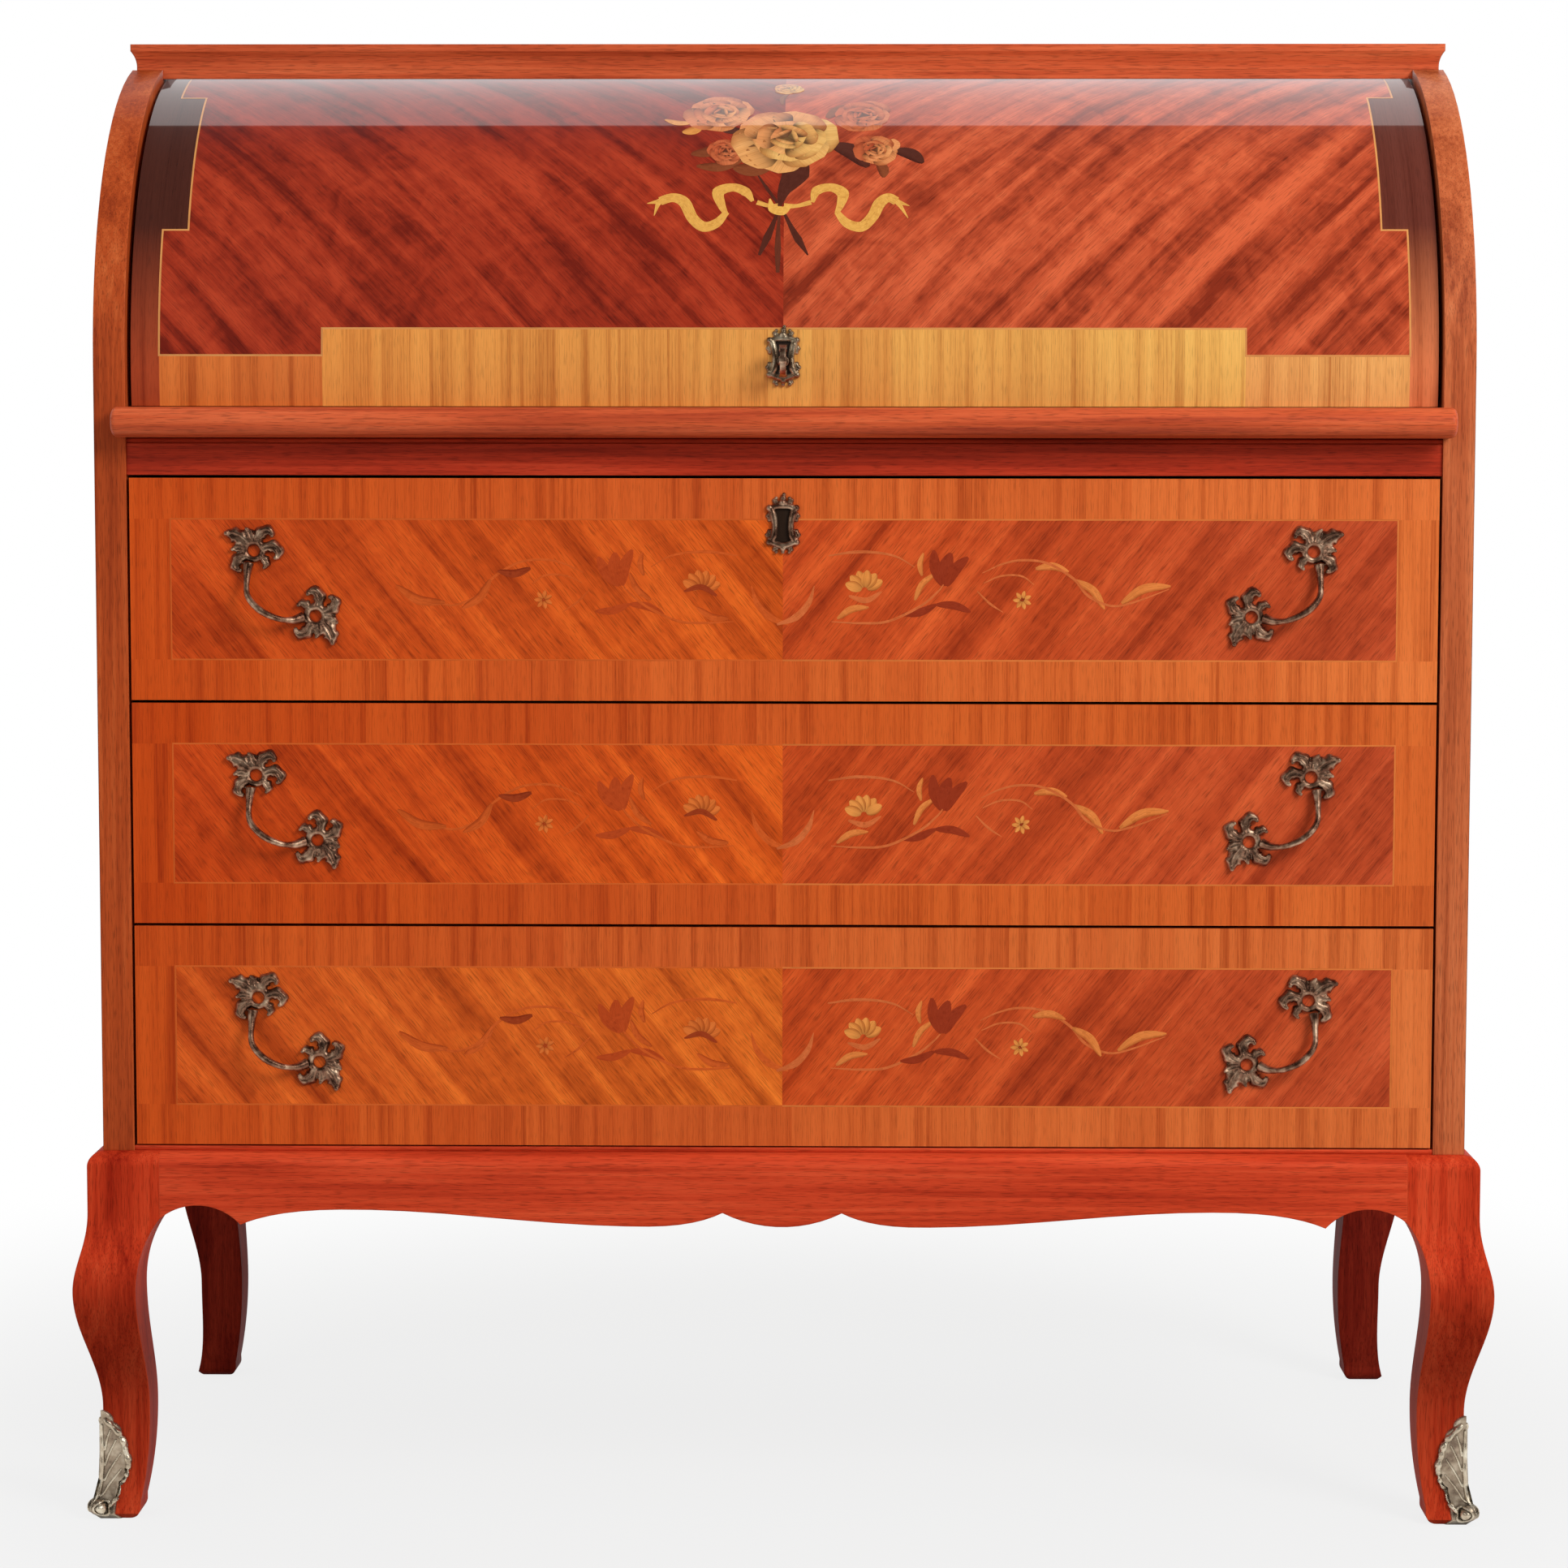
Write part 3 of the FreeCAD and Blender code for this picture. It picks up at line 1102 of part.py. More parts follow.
def small_knob():
    """Turned knob: a tenon, a neck and a bevelled head, revolved about its own axis."""
    piece = body("small_knob_right")
    head = "dims.knob_length - dims.knob_radius"
    corners = [
        ("0", "dims.tenon_length"),
        ("0", "-dims.knob_length"),
        ("dims.knob_radius * 0.6", "-dims.knob_length"),
        ("dims.knob_radius", "-(dims.knob_length - dims.knob_radius * 0.35)"),
        ("dims.knob_radius", f"-({head} + dims.knob_radius * 0.25)"),
        ("dims.knob_neck_radius", f"-({head} - dims.knob_radius * 0.35)"),
        ("dims.knob_neck_radius", "-dims.knob_neck_radius"),
        ("dims.knob_neck_radius * 1.5", "0"),
        ("dims.tenon_radius", "0"),
        ("dims.tenon_radius", "dims.tenon_length"),
    ]
    profile = outline(piece, "XY_Plane", corners)
    turned = piece.newObject("PartDesign::Revolution", "knob_turned")
    turned.Profile = profile
    turned.ReferenceAxis = (profile, ["V_Axis"])
    turned.Angle = 360
    doc.recompute()
    return place(piece, SMALL_MIDDLE_X, UNIT_FRONT, SMALL_MIDDLE_Z)


for source in (small_front(), small_tray(), small_knob()):
    keep(source)
    keep(mirrored(source.Name.replace("right", "left"), source))

# Drawers: front, grooved sides on the runners, back, bottom and a pair of handles

SIDE_FACE = f"({INNER} - dims.drawer_gap)"
SIDE_INNER = f"({SIDE_FACE} - dims.drawer_side_thickness)"
DRAWER_BACK = f"({BACK_FACE} - dims.drawer_back_gap)"
DRAWER_BACK_FRONT = f"({DRAWER_BACK} - dims.drawer_back_thickness)"
GROOVE_DEPTH = "(dims.runner_width - dims.drawer_gap + dims.groove_spare)"
LOCKED_DRAWER = 1
LOCK_Z = f"({drawer_foot(LOCKED_DRAWER)} + {FRONT_HEIGHT} - dims.drawer_lock_drop)"


def drawer_front(number):
    foot = drawer_foot(number)
    name = f"drawer_{number}_front"
    span_x = (f"-{SIDE_FACE}", SIDE_FACE)
    span_z = (foot, f"{foot} + {FRONT_HEIGHT}")
    if number != LOCKED_DRAWER:
        return board(name, span_x, ("0", "dims.front_thickness"), span_z)
    blank = board(f"{name}_blank", span_x, ("0", "dims.front_thickness"), span_z)
    drill = rod(f"{name}_drill", "dims.key_hole_radius", "dims.front_thickness", "0", "0", LOCK_Z, "y")
    return cut(name, blank, drill)


def drawer_sides(number):
    foot = f"({drawer_foot(number)} + dims.drawer_side_lift)"
    span_z = (foot, f"{foot} + dims.drawer_side_height")
    span_y = ("dims.front_thickness", DRAWER_BACK)
    blank = board(f"drawer_{number}_side_blank", (SIDE_INNER, SIDE_FACE), span_y, span_z)
    groove_x = (f"{SIDE_FACE} - {GROOVE_DEPTH}", f"{SIDE_FACE} + dims.groove_spare")
    groove_y = ("dims.front_thickness", f"{DRAWER_BACK} + dims.groove_spare")
    groove_z = (
        f"{runner_foot(number)} - dims.runner_clearance",
        f"{runner_foot(number)} + dims.runner_height + dims.runner_clearance",
    )
    groove = board(f"drawer_{number}_groove", groove_x, groove_y, groove_z)
    side = cut(f"drawer_{number}_side_right", blank, groove)
    return group(f"drawer_{number}_sides", [side, mirrored(f"drawer_{number}_side_left", side)])


def drawer_back(number):
    foot = f"({drawer_foot(number)} + dims.drawer_side_lift)"
    span_z = (foot, f"{foot} + dims.drawer_side_height")
    across = (f"-{SIDE_INNER}", SIDE_INNER)
    return board(f"drawer_{number}_back", across, (DRAWER_BACK_FRONT, DRAWER_BACK), span_z)


def drawer_bottom(number):
    foot = f"({drawer_foot(number)} + dims.drawer_side_lift + dims.drawer_bottom_lift)"
    span_y = ("dims.front_thickness", DRAWER_BACK_FRONT)
    span_z = (foot, f"{foot} + dims.drawer_bottom_thickness")
    return board(f"drawer_{number}_bottom", (f"-{SIDE_INNER}", SIDE_INNER), span_y, span_z)


def drawer_handles(number, shape):
    left = casting(f"handle_left_{number}", shape)
    place(left, "-dims.handle_reach", "0", f"{drawer_foot(number)} + dims.handle_lift")
    return group(f"drawer_{number}_handles", [left, mirrored(f"handle_right_{number}", left)])


pull = handle_shape()
for number in range(1, DRAWER_COUNT + 1):
    keep(drawer_front(number))
    keep(drawer_sides(number))
    keep(drawer_back(number))
    keep(drawer_bottom(number))
    keep(drawer_handles(number, pull))

keep(place(casting("drawer_escutcheon", escutcheon_shape(0.0)), "0", "0", LOCK_Z))


def drawer_lock():
    """Lock behind the upper drawer's front, with its bolt drawn in."""
    above = "dims.lock_hollow + dims.lock_wall"
    face = "dims.front_thickness"
    box = lock_box("drawer_lock_box", face, LOCK_Z, f"({above})")
    head = f"{LOCK_Z} + {above}"
    bolt_x = ("-dims.bolt_width / 2", "dims.bolt_width / 2")
    bolt_y = (f"{face} + dims.lock_depth / 4", f"{face} + 3 * dims.lock_depth / 4")
    bolt_z = (f"{head} - dims.lock_wall / 2", f"{head} + dims.bolt_height")
    bolt = board("drawer_lock_bolt", bolt_x, bolt_y, bolt_z)
    return lock_case("drawer_lock", (fuse("drawer_lock_blank", [box, bolt]), LOCK_Z), face)


keep(drawer_lock())

# Check every object, then write each sub-part to its own file

doc.recompute()
for item in doc.Objects:
    if "Invalid" in item.State or "Error" in item.State:
        raise RuntimeError(f"{item.Name} failed: {item.State}")
for sub_part in PARTS:
    if sub_part.Shape.isNull() or not sub_part.Shape.isValid() or not sub_part.Shape.Solids:
        raise RuntimeError(f"{sub_part.Label} has no valid solid")

os.makedirs("parts", exist_ok=True)
for sub_part in PARTS:
    sub_part.Shape.exportStep(f"parts/{sub_part.Label}.step")
print(f"{len(PARTS)} sub-parts written")
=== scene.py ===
# %% [markdown]
# # A cylinder desk in marquetry
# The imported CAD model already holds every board, joint and fitting of the desk, so this lesson never moves
# a part. It dresses them: veneers and inlay on the cylinder and the drawers, cast bronze, polished wood,
# and a small photo studio. Everything is in metres, in the frame of the CAD model.

import json
import math
import random

import bmesh
import bpy
from mathutils import Matrix, Vector
from mathutils.bvhtree import BVHTree


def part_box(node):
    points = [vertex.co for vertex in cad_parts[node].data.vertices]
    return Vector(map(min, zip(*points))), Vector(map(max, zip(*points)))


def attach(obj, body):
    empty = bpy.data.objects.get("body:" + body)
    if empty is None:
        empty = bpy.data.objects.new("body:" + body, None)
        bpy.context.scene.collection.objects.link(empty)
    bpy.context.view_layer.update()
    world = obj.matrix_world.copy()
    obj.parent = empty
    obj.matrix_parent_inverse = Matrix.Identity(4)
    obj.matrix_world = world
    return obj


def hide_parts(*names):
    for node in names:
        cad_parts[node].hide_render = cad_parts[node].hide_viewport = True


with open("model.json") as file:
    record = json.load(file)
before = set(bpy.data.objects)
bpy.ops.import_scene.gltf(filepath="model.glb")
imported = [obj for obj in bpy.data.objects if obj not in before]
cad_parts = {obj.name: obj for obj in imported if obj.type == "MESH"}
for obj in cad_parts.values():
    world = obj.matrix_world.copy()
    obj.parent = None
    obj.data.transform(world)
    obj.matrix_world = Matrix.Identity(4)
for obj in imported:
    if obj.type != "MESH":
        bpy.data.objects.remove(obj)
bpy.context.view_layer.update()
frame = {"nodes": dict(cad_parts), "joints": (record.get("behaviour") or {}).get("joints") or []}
nodes = frame["nodes"]
joints = {joint["name"]: joint for joint in frame["joints"]}

# %% [markdown]
# ## The camera
# A photograph fixes a camera by its place, its aim and its focal length. Those were found by fitting the
# straight edges of the desk, so the render can be laid over the picture. The aim is given as three small
# angles, and the three axes that a Blender camera needs are worked out from them.

# %% Camera at the photograph's viewpoint
CAMERA_PLACE = Vector((0.0354, -2.8471, 0.7342))
CAMERA_YAW = -0.0131
CAMERA_PITCH = -0.0795
CAMERA_ROLL = 0.0011
FOCAL_PIXELS = 4640.6
IMAGE_PIXELS = 1932
SENSOR_MM = 36.0


def camera_axes():
    """Right, up and backward axes of the camera."""
    level_aim = Vector((math.sin(CAMERA_YAW), math.cos(CAMERA_YAW), 0))
    level_right = Vector((math.cos(CAMERA_YAW), -math.sin(CAMERA_YAW), 0))
    upright = Vector((0, 0, 1))
    aim = level_aim * math.cos(CAMERA_PITCH) + upright * math.sin(CAMERA_PITCH)
    up = upright * math.cos(CAMERA_PITCH) - level_aim * math.sin(CAMERA_PITCH)
    right = level_right * math.cos(CAMERA_ROLL) + up * math.sin(CAMERA_ROLL)
    up = up * math.cos(CAMERA_ROLL) - level_right * math.sin(CAMERA_ROLL)
    return right, up, -aim


camera_data = bpy.data.cameras.new("camera")
camera_data.sensor_width = SENSOR_MM
camera_data.lens = SENSOR_MM * FOCAL_PIXELS / IMAGE_PIXELS
camera = bpy.data.objects.new("camera", camera_data)
camera.matrix_world = Matrix.Translation(CAMERA_PLACE) @ Matrix(camera_axes()).transposed().to_4x4()
bpy.context.scene.collection.objects.link(camera)
bpy.context.scene.camera = camera
bpy.context.scene.view_settings.view_transform = "Standard"
print("lens", round(camera_data.lens, 1), "mm")

# %% [markdown]
# ## The studio
# A catalogue picture needs a pale floor, a white surround and large soft lamps. The Light Path node tells
# the surround who looks at it: the camera and mirror reflections see pure white, while the light that
# falls on the desk stays at a plain level. Far from the desk the floor fades into the same white, so no
# horizon shows, and close to it the floor still takes the desk's shadow.

# %% Node helper and white surround
AMBIENT_LIGHT = 0.56
WHITE = (1, 1, 1, 1)


def add_node(tree, kind, inputs=None, **settings):
    """A node with its settings made, and each named socket either set or linked."""
    node = tree.nodes.new(kind)
    for setting, value in settings.items():
        setattr(node, setting, value)
    for socket, value in (inputs or {}).items():
        if isinstance(value, bpy.types.NodeSocket):
            tree.links.new(value, node.inputs[socket])
        else:
            node.inputs[socket].default_value = value
    return node


def maths(tree, operation, *values):
    """One Math node, read as a number."""
    return add_node(tree, "ShaderNodeMath", dict(enumerate(values)), operation=operation).outputs[0]


def shows_surround(tree):
    """1 for the rays that show the surround: from the camera, off a mirror or through glass."""
    path = add_node(tree, "ShaderNodeLightPath").outputs
    shiny = maths(tree, "MAXIMUM", path["Is Glossy Ray"], path["Is Transmission Ray"])
    return maths(tree, "MAXIMUM", path["Is Camera Ray"], shiny)


def new_finish(name):
    """A new material, its nodes and its main shader."""
    material = bpy.data.materials.new(name)
    material.use_nodes = True
    return material, material.node_tree, material.node_tree.nodes["Principled BSDF"]


def show(tree, shader):
    """Let this shader, and no other, be what is seen."""
    tree.nodes.remove(tree.nodes["Principled BSDF"])
    tree.links.new(shader.outputs[0], tree.nodes["Material Output"].inputs["Surface"])


world = bpy.data.worlds.new("studio_surround")
world.use_nodes = True
bpy.context.scene.world = world
surround = world.node_tree.nodes["Background"]
surround.inputs["Color"].default_value = WHITE
level = add_node(world.node_tree, "ShaderNodeMapRange",
                 {"Value": shows_surround(world.node_tree), "To Min": AMBIENT_LIGHT, "To Max": 1.0})
world.node_tree.links.new(level.outputs["Result"], surround.inputs["Strength"])
print("surround", surround.inputs["Color"].default_value[:3])

# %% [markdown]
# ## Floor, canopy and lamps
# Polished wood shows what stands round it. In a studio that is a dark room in front of the desk and white
# paper behind it, so a dim canopy hangs over the photographer's side. Only mirror rays see it. Its rear edge
# gives the sharp pale band along the top of the cylinder, where the polish reflects the white paper. The right
# softbox is two lamps in one place, one for its plain light and one for its gleam on polish and metal.

# %% Floor, canopy and lamps
MM = 0.001
DESK_MIDDLE = Vector((0, 0, 0.6))
FLOOR_HALF = 15
FLOOR_COLOUR = (0.40, 0.40, 0.39, 1)
NEAR_WHITE = 0.82
FADE_START = 0.45
FADE_END = 1.3
CANOPY_HEIGHT = 2.6
CANOPY_HALF = 4.0
CANOPY_FRONT = -6.0
CANOPY_REAR = 0.37
CANOPY_GREY = 0.03
CARPET_REAR = -1.6
CARPET_HEIGHT = 1 * MM
WALL_REAR = -0.6
RIGHT_SOFTBOX = ((1.9, -2.2, 2.1), 1.1, 60.0)
LEFT_SOFTBOX = ((-2.4, -2.6, 1.6), 1.8, 13.0)


def stage_plane(name, corners, material):
    """A flat sheet of the studio, which isn't part of the desk."""
    mesh = bpy.data.meshes.new(name)
    mesh.from_pydata(corners, [], [(0, 1, 2, 3)])
    mesh.materials.append(material)
    plane = bpy.data.objects.new(name, mesh)
    bpy.context.scene.collection.objects.link(plane)
    return plane


def floor_material():
    """Matt floor that takes a shadow by the desk and fades to white further off."""
    material, tree, _ = new_finish("studio_floor")
    matt = add_node(tree, "ShaderNodeBsdfDiffuse", {"Color": FLOOR_COLOUR})
    white = add_node(tree, "ShaderNodeEmission", {"Color": WHITE, "Strength": 1.0})
    place = add_node(tree, "ShaderNodeTexCoord").outputs["Object"]
    distance = add_node(tree, "ShaderNodeVectorMath", {0: place}, operation="LENGTH").outputs["Value"]
    painted_shade = add_node(tree, "ShaderNodeMapRange",
                    {"Value": distance, "From Min": FADE_START, "From Max": FADE_END, "To Min": NEAR_WHITE},
                    interpolation_type="SMOOTHSTEP").outputs["Result"]
    mix = add_node(tree, "ShaderNodeMixShader",
                   {0: maths(tree, "MULTIPLY", painted_shade, shows_surround(tree)),
                    1: matt.outputs[0], 2: white.outputs[0]})
    show(tree, mix)
    return material


def canopy_material():
    """Dim cloth, seen only as a reflection in the polish."""
    material, tree, _ = new_finish("studio_canopy")
    show(tree, add_node(tree, "ShaderNodeEmission", {"Color": WHITE, "Strength": CANOPY_GREY}))
    return material


canopy_cloth = canopy_material()


def canopy(name, start, end, sweep):
    """A sheet of the canopy: the edge from start to end, swept along."""
    start, end, sweep = Vector(start), Vector(end), Vector(sweep)
    sheet = stage_plane(name, [start, end, end + sweep, start + sweep], canopy_cloth)
    for ray in ("camera", "diffuse", "transmission", "shadow", "volume_scatter"):
        setattr(sheet, "visible_" + ray, False)


def lamp(name, place, size, watts):
    """A square softbox aimed at the middle of the desk: its place and size in metres, and its power."""
    data = bpy.data.lights.new(name, "AREA")
    data.size = size
    data.energy = watts
    light = bpy.data.objects.new(name, data)
    light.location = place
    light.rotation_euler = (DESK_MIDDLE - Vector(place)).to_track_quat("-Z", "Y").to_euler()
    bpy.context.scene.collection.objects.link(light)
    return light


stage_plane("floor", [(across * FLOOR_HALF, deep * FLOOR_HALF, 0)
                      for across, deep in ((-1, -1), (1, -1), (1, 1), (-1, 1))], floor_material())
for name, height, depth in (("canopy_ceiling", CANOPY_HEIGHT, CANOPY_REAR),
                            ("canopy_carpet", CARPET_HEIGHT, CARPET_REAR)):
    canopy(name, (-CANOPY_HALF, CANOPY_FRONT, height), (CANOPY_HALF, CANOPY_FRONT, height),
           (0, depth - CANOPY_FRONT, 0))
canopy("canopy_front", (-CANOPY_HALF, CANOPY_FRONT, 0), (CANOPY_HALF, CANOPY_FRONT, 0), (0, 0, CANOPY_HEIGHT))
for name, across in (("canopy_left", -CANOPY_HALF), ("canopy_right", CANOPY_HALF)):
    canopy(name, (across, CANOPY_FRONT, 0), (across, WALL_REAR, 0), (0, 0, CANOPY_HEIGHT))
lamp("softbox_right", *RIGHT_SOFTBOX).visible_glossy = False
gleam = lamp("softbox_right_gleam", *RIGHT_SOFTBOX)
gleam.visible_diffuse = False
lamp("softbox_left", *LEFT_SOFTBOX)
print("floor, canopy and two softboxes")

# %% [markdown]
# ## Wood
# Every board of the desk is wood, and most of it is varnished. Wood is not one colour: broad ribbons of
# lighter and darker growth run along the grain, fine lines lie between them, short pores fleck the surface, and
# some logs show clouds across the grain. Each of these is a noise texture, drawn out along the grain by a
# Mapping node, and a colour ramp turns their sum into colour. Solid boards take the grain from their own
# place in space, and veneers take it from a map that is laid with them.

# %% Grain patterns
def grain_place(tree, along):
    """Metres with the grain along the first axis, from the solid or, for a veneer, from its own map."""
    if along is None:
        return add_node(tree, "ShaderNodeUVMap", uv_map="grain").outputs["UV"]
    solid = add_node(tree, "ShaderNodeTexCoord").outputs["Object"]
    axes = add_node(tree, "ShaderNodeSeparateXYZ", {0: solid}).outputs
    order = {"x": "XYZ", "y": "YZX", "z": "ZXY"}[along]
    return add_node(tree, "ShaderNodeCombineXYZ", dict(enumerate(axes[axis] for axis in order))).outputs[0]


def streaks(tree, place, lengthways, crossways, detail=3.0, bend=0.0):
    """Noise drawn out along the grain; the two numbers say how often it repeats in a metre."""
    stretched = add_node(tree, "ShaderNodeMapping",
                         {"Vector": place, "Scale": (lengthways, crossways, crossways)}).outputs[0]
    noise = add_node(tree, "ShaderNodeTexNoise",
                     {"Vector": stretched, "Scale": 1.0, "Detail": detail, "Distortion": bend})
    return noise.outputs[0]


def ramp(tree, value, *stops):
    """Colours at places from 0 to 1; each stop is a place and a colour or a grey."""
    node = add_node(tree, "ShaderNodeValToRGB", {"Fac": value})
    elements = node.color_ramp.elements
    while len(elements) < len(stops):
        elements.new(0.5)
    for element, (place, colour) in zip(elements, stops):
        element.position = place
        element.color = (*colour, 1) if isinstance(colour, tuple) else (colour, colour, colour, 1)
    return node.outputs["Color"]


def tint(tree, mode, factor, under, over):
    """Two colours mixed in a named way."""
    node = add_node(tree, "ShaderNodeMix", {0: factor, 6: under, 7: over}, data_type="RGBA", blend_type=mode)
    return node.outputs[2]


print("grain patterns ready")

# %% [markdown]
# ## Worn edges
# A desk that has been polished for years has soft corners, and the stain is thin on them. The Bevel node
# gives a rounded normal near each edge. Where that differs from the flat normal there is an edge, so the
# same node both softens the edge's shine and says where the paler wood shows.

# %% Edge wear and the wood finish
EDGE_RADIUS = 1.2 * MM
EDGE_FACING = (0.99, 0.78)
LINE_REPEATS = 6.0
LINES_PER_RIBBON = 9
CLOUD_REPEATS = (70.0, 55.0)
PORE_REPEATS = (85.0, 1500.0)
WEAR_REPEATS = (30.0, 60.0)
HAZE_REPEATS = (9.0, 14.0)
WORN_PALER = 1.25
SAND_HEAT = ((0.0, 0.22), (0.35, 0.75), (0.7, 1.0))
FOLD_SHADE = ((0.0, (0.62, 0.45, 0.36)), (0.35, (1.0, 1.0, 1.0)))
VARNISH_ROUGHNESS = 0.05
BLOOM_ROUGHNESS = 0.3
LEG_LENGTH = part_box("leg_front_left")[1].z


def worn_edge(tree):
    """How near an edge a point is, from 0 to 1, and the rounded normal there."""
    rounded = add_node(tree, "ShaderNodeBevel", {"Radius": EDGE_RADIUS}, samples=4).outputs[0]
    flat = add_node(tree, "ShaderNodeNewGeometry").outputs["Normal"]
    facing = add_node(tree, "ShaderNodeVectorMath", {0: rounded, 1: flat}, operation="DOT_PRODUCT")
    edge = add_node(tree, "ShaderNodeMapRange",
                    {"Value": facing.outputs["Value"], "From Min": EDGE_FACING[0], "From Max": EDGE_FACING[1]})
    return edge.outputs["Result"], rounded


def varying(tree, value, rough, less, more):
    """A roughness that varies a little with a pattern."""
    return add_node(tree, "ShaderNodeMapRange", {"Value": value, "From Min": 0.3, "From Max": 0.7,
                                                 "To Min": rough - less, "To Max": rough + more}).outputs["Result"]


def connect(tree, shader, colour, rough, bump):
    """Lead colour, roughness and relief to the shader."""
    for socket, source in (("Base Color", colour), ("Roughness", rough), ("Normal", bump.outputs[0])):
        tree.links.new(source, shader.inputs[socket])


def wood(name, dark, middle, light, along=None, ribbon=1.7, line=1.0, cloud=0.0, across=42.0,
         length=2.6, stained=False, scorch=False, pores=0.45, rough=0.42, coat=0.08, coat_index=1.5, shine=0.10,
         bloom=0.0, painted_shade=None):
    """Varnished wood. A stained veneer multiplies the ramp by the colour laid on each shape, painted light and shade
    included.
    """
    material, tree, shader = new_finish(name)
    place = grain_place(tree, along)
    ribbons = streaks(tree, place, length, across, 4.0, 0.5)
    lines = streaks(tree, place, LINE_REPEATS, across * LINES_PER_RIBBON)
    clouds = streaks(tree, place, *CLOUD_REPEATS, bend=0.8)
    figure = maths(tree, "MULTIPLY_ADD", ribbons, ribbon, 0.5 - 0.5 * (ribbon + line + cloud))
    figure = maths(tree, "MULTIPLY_ADD", lines, line, figure)
    figure = maths(tree, "MULTIPLY_ADD", clouds, cloud, figure)
    colour = ramp(tree, figure, (0.0, dark), (0.5, middle), (1.0, light))
    # Painted shade: darker below the knee, where the leg faces down, and lighter again at the flared foot.
    if painted_shade:
        distance = add_node(tree, "ShaderNodeSeparateXYZ", {0: place}).outputs[0]
        share = add_node(tree, "ShaderNodeMapRange", {"Value": distance, "From Max": LEG_LENGTH}).outputs["Result"]
        colour = tint(tree, "MULTIPLY", 1.0, colour, ramp(tree, share, *painted_shade))
    if stained:
        stain = add_node(tree, "ShaderNodeAttribute", attribute_name="stain").outputs["Color"]
        colour = tint(tree, "MULTIPLY", 1.0, colour, stain)
    if scorch:
        petal = add_node(tree, "ShaderNodeUVMap", uv_map="petal").outputs["UV"]
        root_to_tip, rim_to_rim, _ = add_node(tree, "ShaderNodeSeparateXYZ", {0: petal}).outputs
        colour = tint(tree, "MULTIPLY", 1.0, colour, ramp(tree, root_to_tip, *SAND_HEAT))
        colour = tint(tree, "MULTIPLY", 1.0, colour, ramp(tree, rim_to_rim, *FOLD_SHADE))
    fleck = streaks(tree, place, *PORE_REPEATS, detail=1.0)
    colour = tint(tree, "MULTIPLY", pores, colour, ramp(tree, fleck, (0.34, 0.25), (0.46, 1.0)))
    relief = maths(tree, "MULTIPLY_ADD", fleck, 0.6, lines)
    bump = add_node(tree, "ShaderNodeBump", {"Strength": 0.10, "Distance": 0.25 * MM, "Height": relief})
    if along is not None:
        edge, rounded = worn_edge(tree)
        patchy = maths(tree, "MULTIPLY", edge, streaks(tree, place, *WEAR_REPEATS))
        colour = tint(tree, "MIX", patchy, colour, (*[min(1.0, WORN_PALER * part) for part in light], 1))
        tree.links.new(rounded, bump.inputs["Normal"])
    haze = varying(tree, streaks(tree, place, *HAZE_REPEATS), rough, 0.07, 0.08)
    connect(tree, shader, colour, haze, bump)
    for socket, value in (("Specular IOR Level", shine), ("Coat Weight", coat), ("Coat IOR", coat_index),
                          ("Coat Roughness", VARNISH_ROUGHNESS), ("Sheen Weight", bloom),
                          ("Sheen Roughness", BLOOM_ROUGHNESS)):
        shader.inputs[socket].default_value = value
    return material


print("wood finish ready")

# %% [markdown]
# ## Solid boards
# The frame of the desk is red-stained mahogany: mouldings, nosing, rails, apron and legs. The sides are a
# warmer, browner veneer, and what only the owner sees, the drawer linings and the back, is plain oak.
# A CAD solid keeps its shape and only gets its finish, with the grain along the length of the board.
# The moulding over the cylinder is kept out of mirror rays, so the pale band runs right up to the rail.

# %% Finishes of the solid boards
def dress(finish, *names):
    """Give CAD solids a finish."""
    for name in names:
        for slot in nodes[name].material_slots:
            slot.material = finish


MAHOGANY = ((0.32, 0.032, 0.011), (0.62, 0.098, 0.030), (0.80, 0.170, 0.060))
APRON_RED = ((0.34, 0.018, 0.006), (0.63, 0.058, 0.018), (0.80, 0.105, 0.036))
LEG_RED = ((0.30, 0.013, 0.004), (0.57, 0.043, 0.012), (0.74, 0.083, 0.026))
# Painted shade: the back legs are a darker copy of the leg red, for the shade under the desk.
LEG_SHADED_BACK = ((0.07, 0.004, 0.002), (0.17, 0.011, 0.005), (0.27, 0.024, 0.010))
RAIL_RED = ((0.22, 0.014, 0.005), (0.48, 0.036, 0.011), (0.68, 0.072, 0.024))
SIDE_BROWN = ((0.26, 0.030, 0.006), (0.49, 0.075, 0.014), (0.66, 0.140, 0.034))
# Painted light: the right side panel is painted lighter and more orange than the left, for light from the right.
SIDE_BROWN_PAINTED_LIT = ((0.30, 0.048, 0.012), (0.53, 0.118, 0.036), (0.72, 0.210, 0.075))
OAK = ((0.32, 0.135, 0.045), (0.56, 0.255, 0.095), (0.70, 0.38, 0.15))
# Painted shade down the front legs, by share of the leg's height.
LEG_PAINTED_SHADE = ((0.0, 0.85), (0.22, 0.72), (0.42, 0.48), (0.56, 0.60), (0.72, 1.0))
APRON_POLISH = {"coat": 0.0, "shine": 0.05}
LEG_POLISH = {"coat": 0.0, "shine": 0.03, "rough": 0.55}
LONG_DRAWERS = (1, 2, 3)

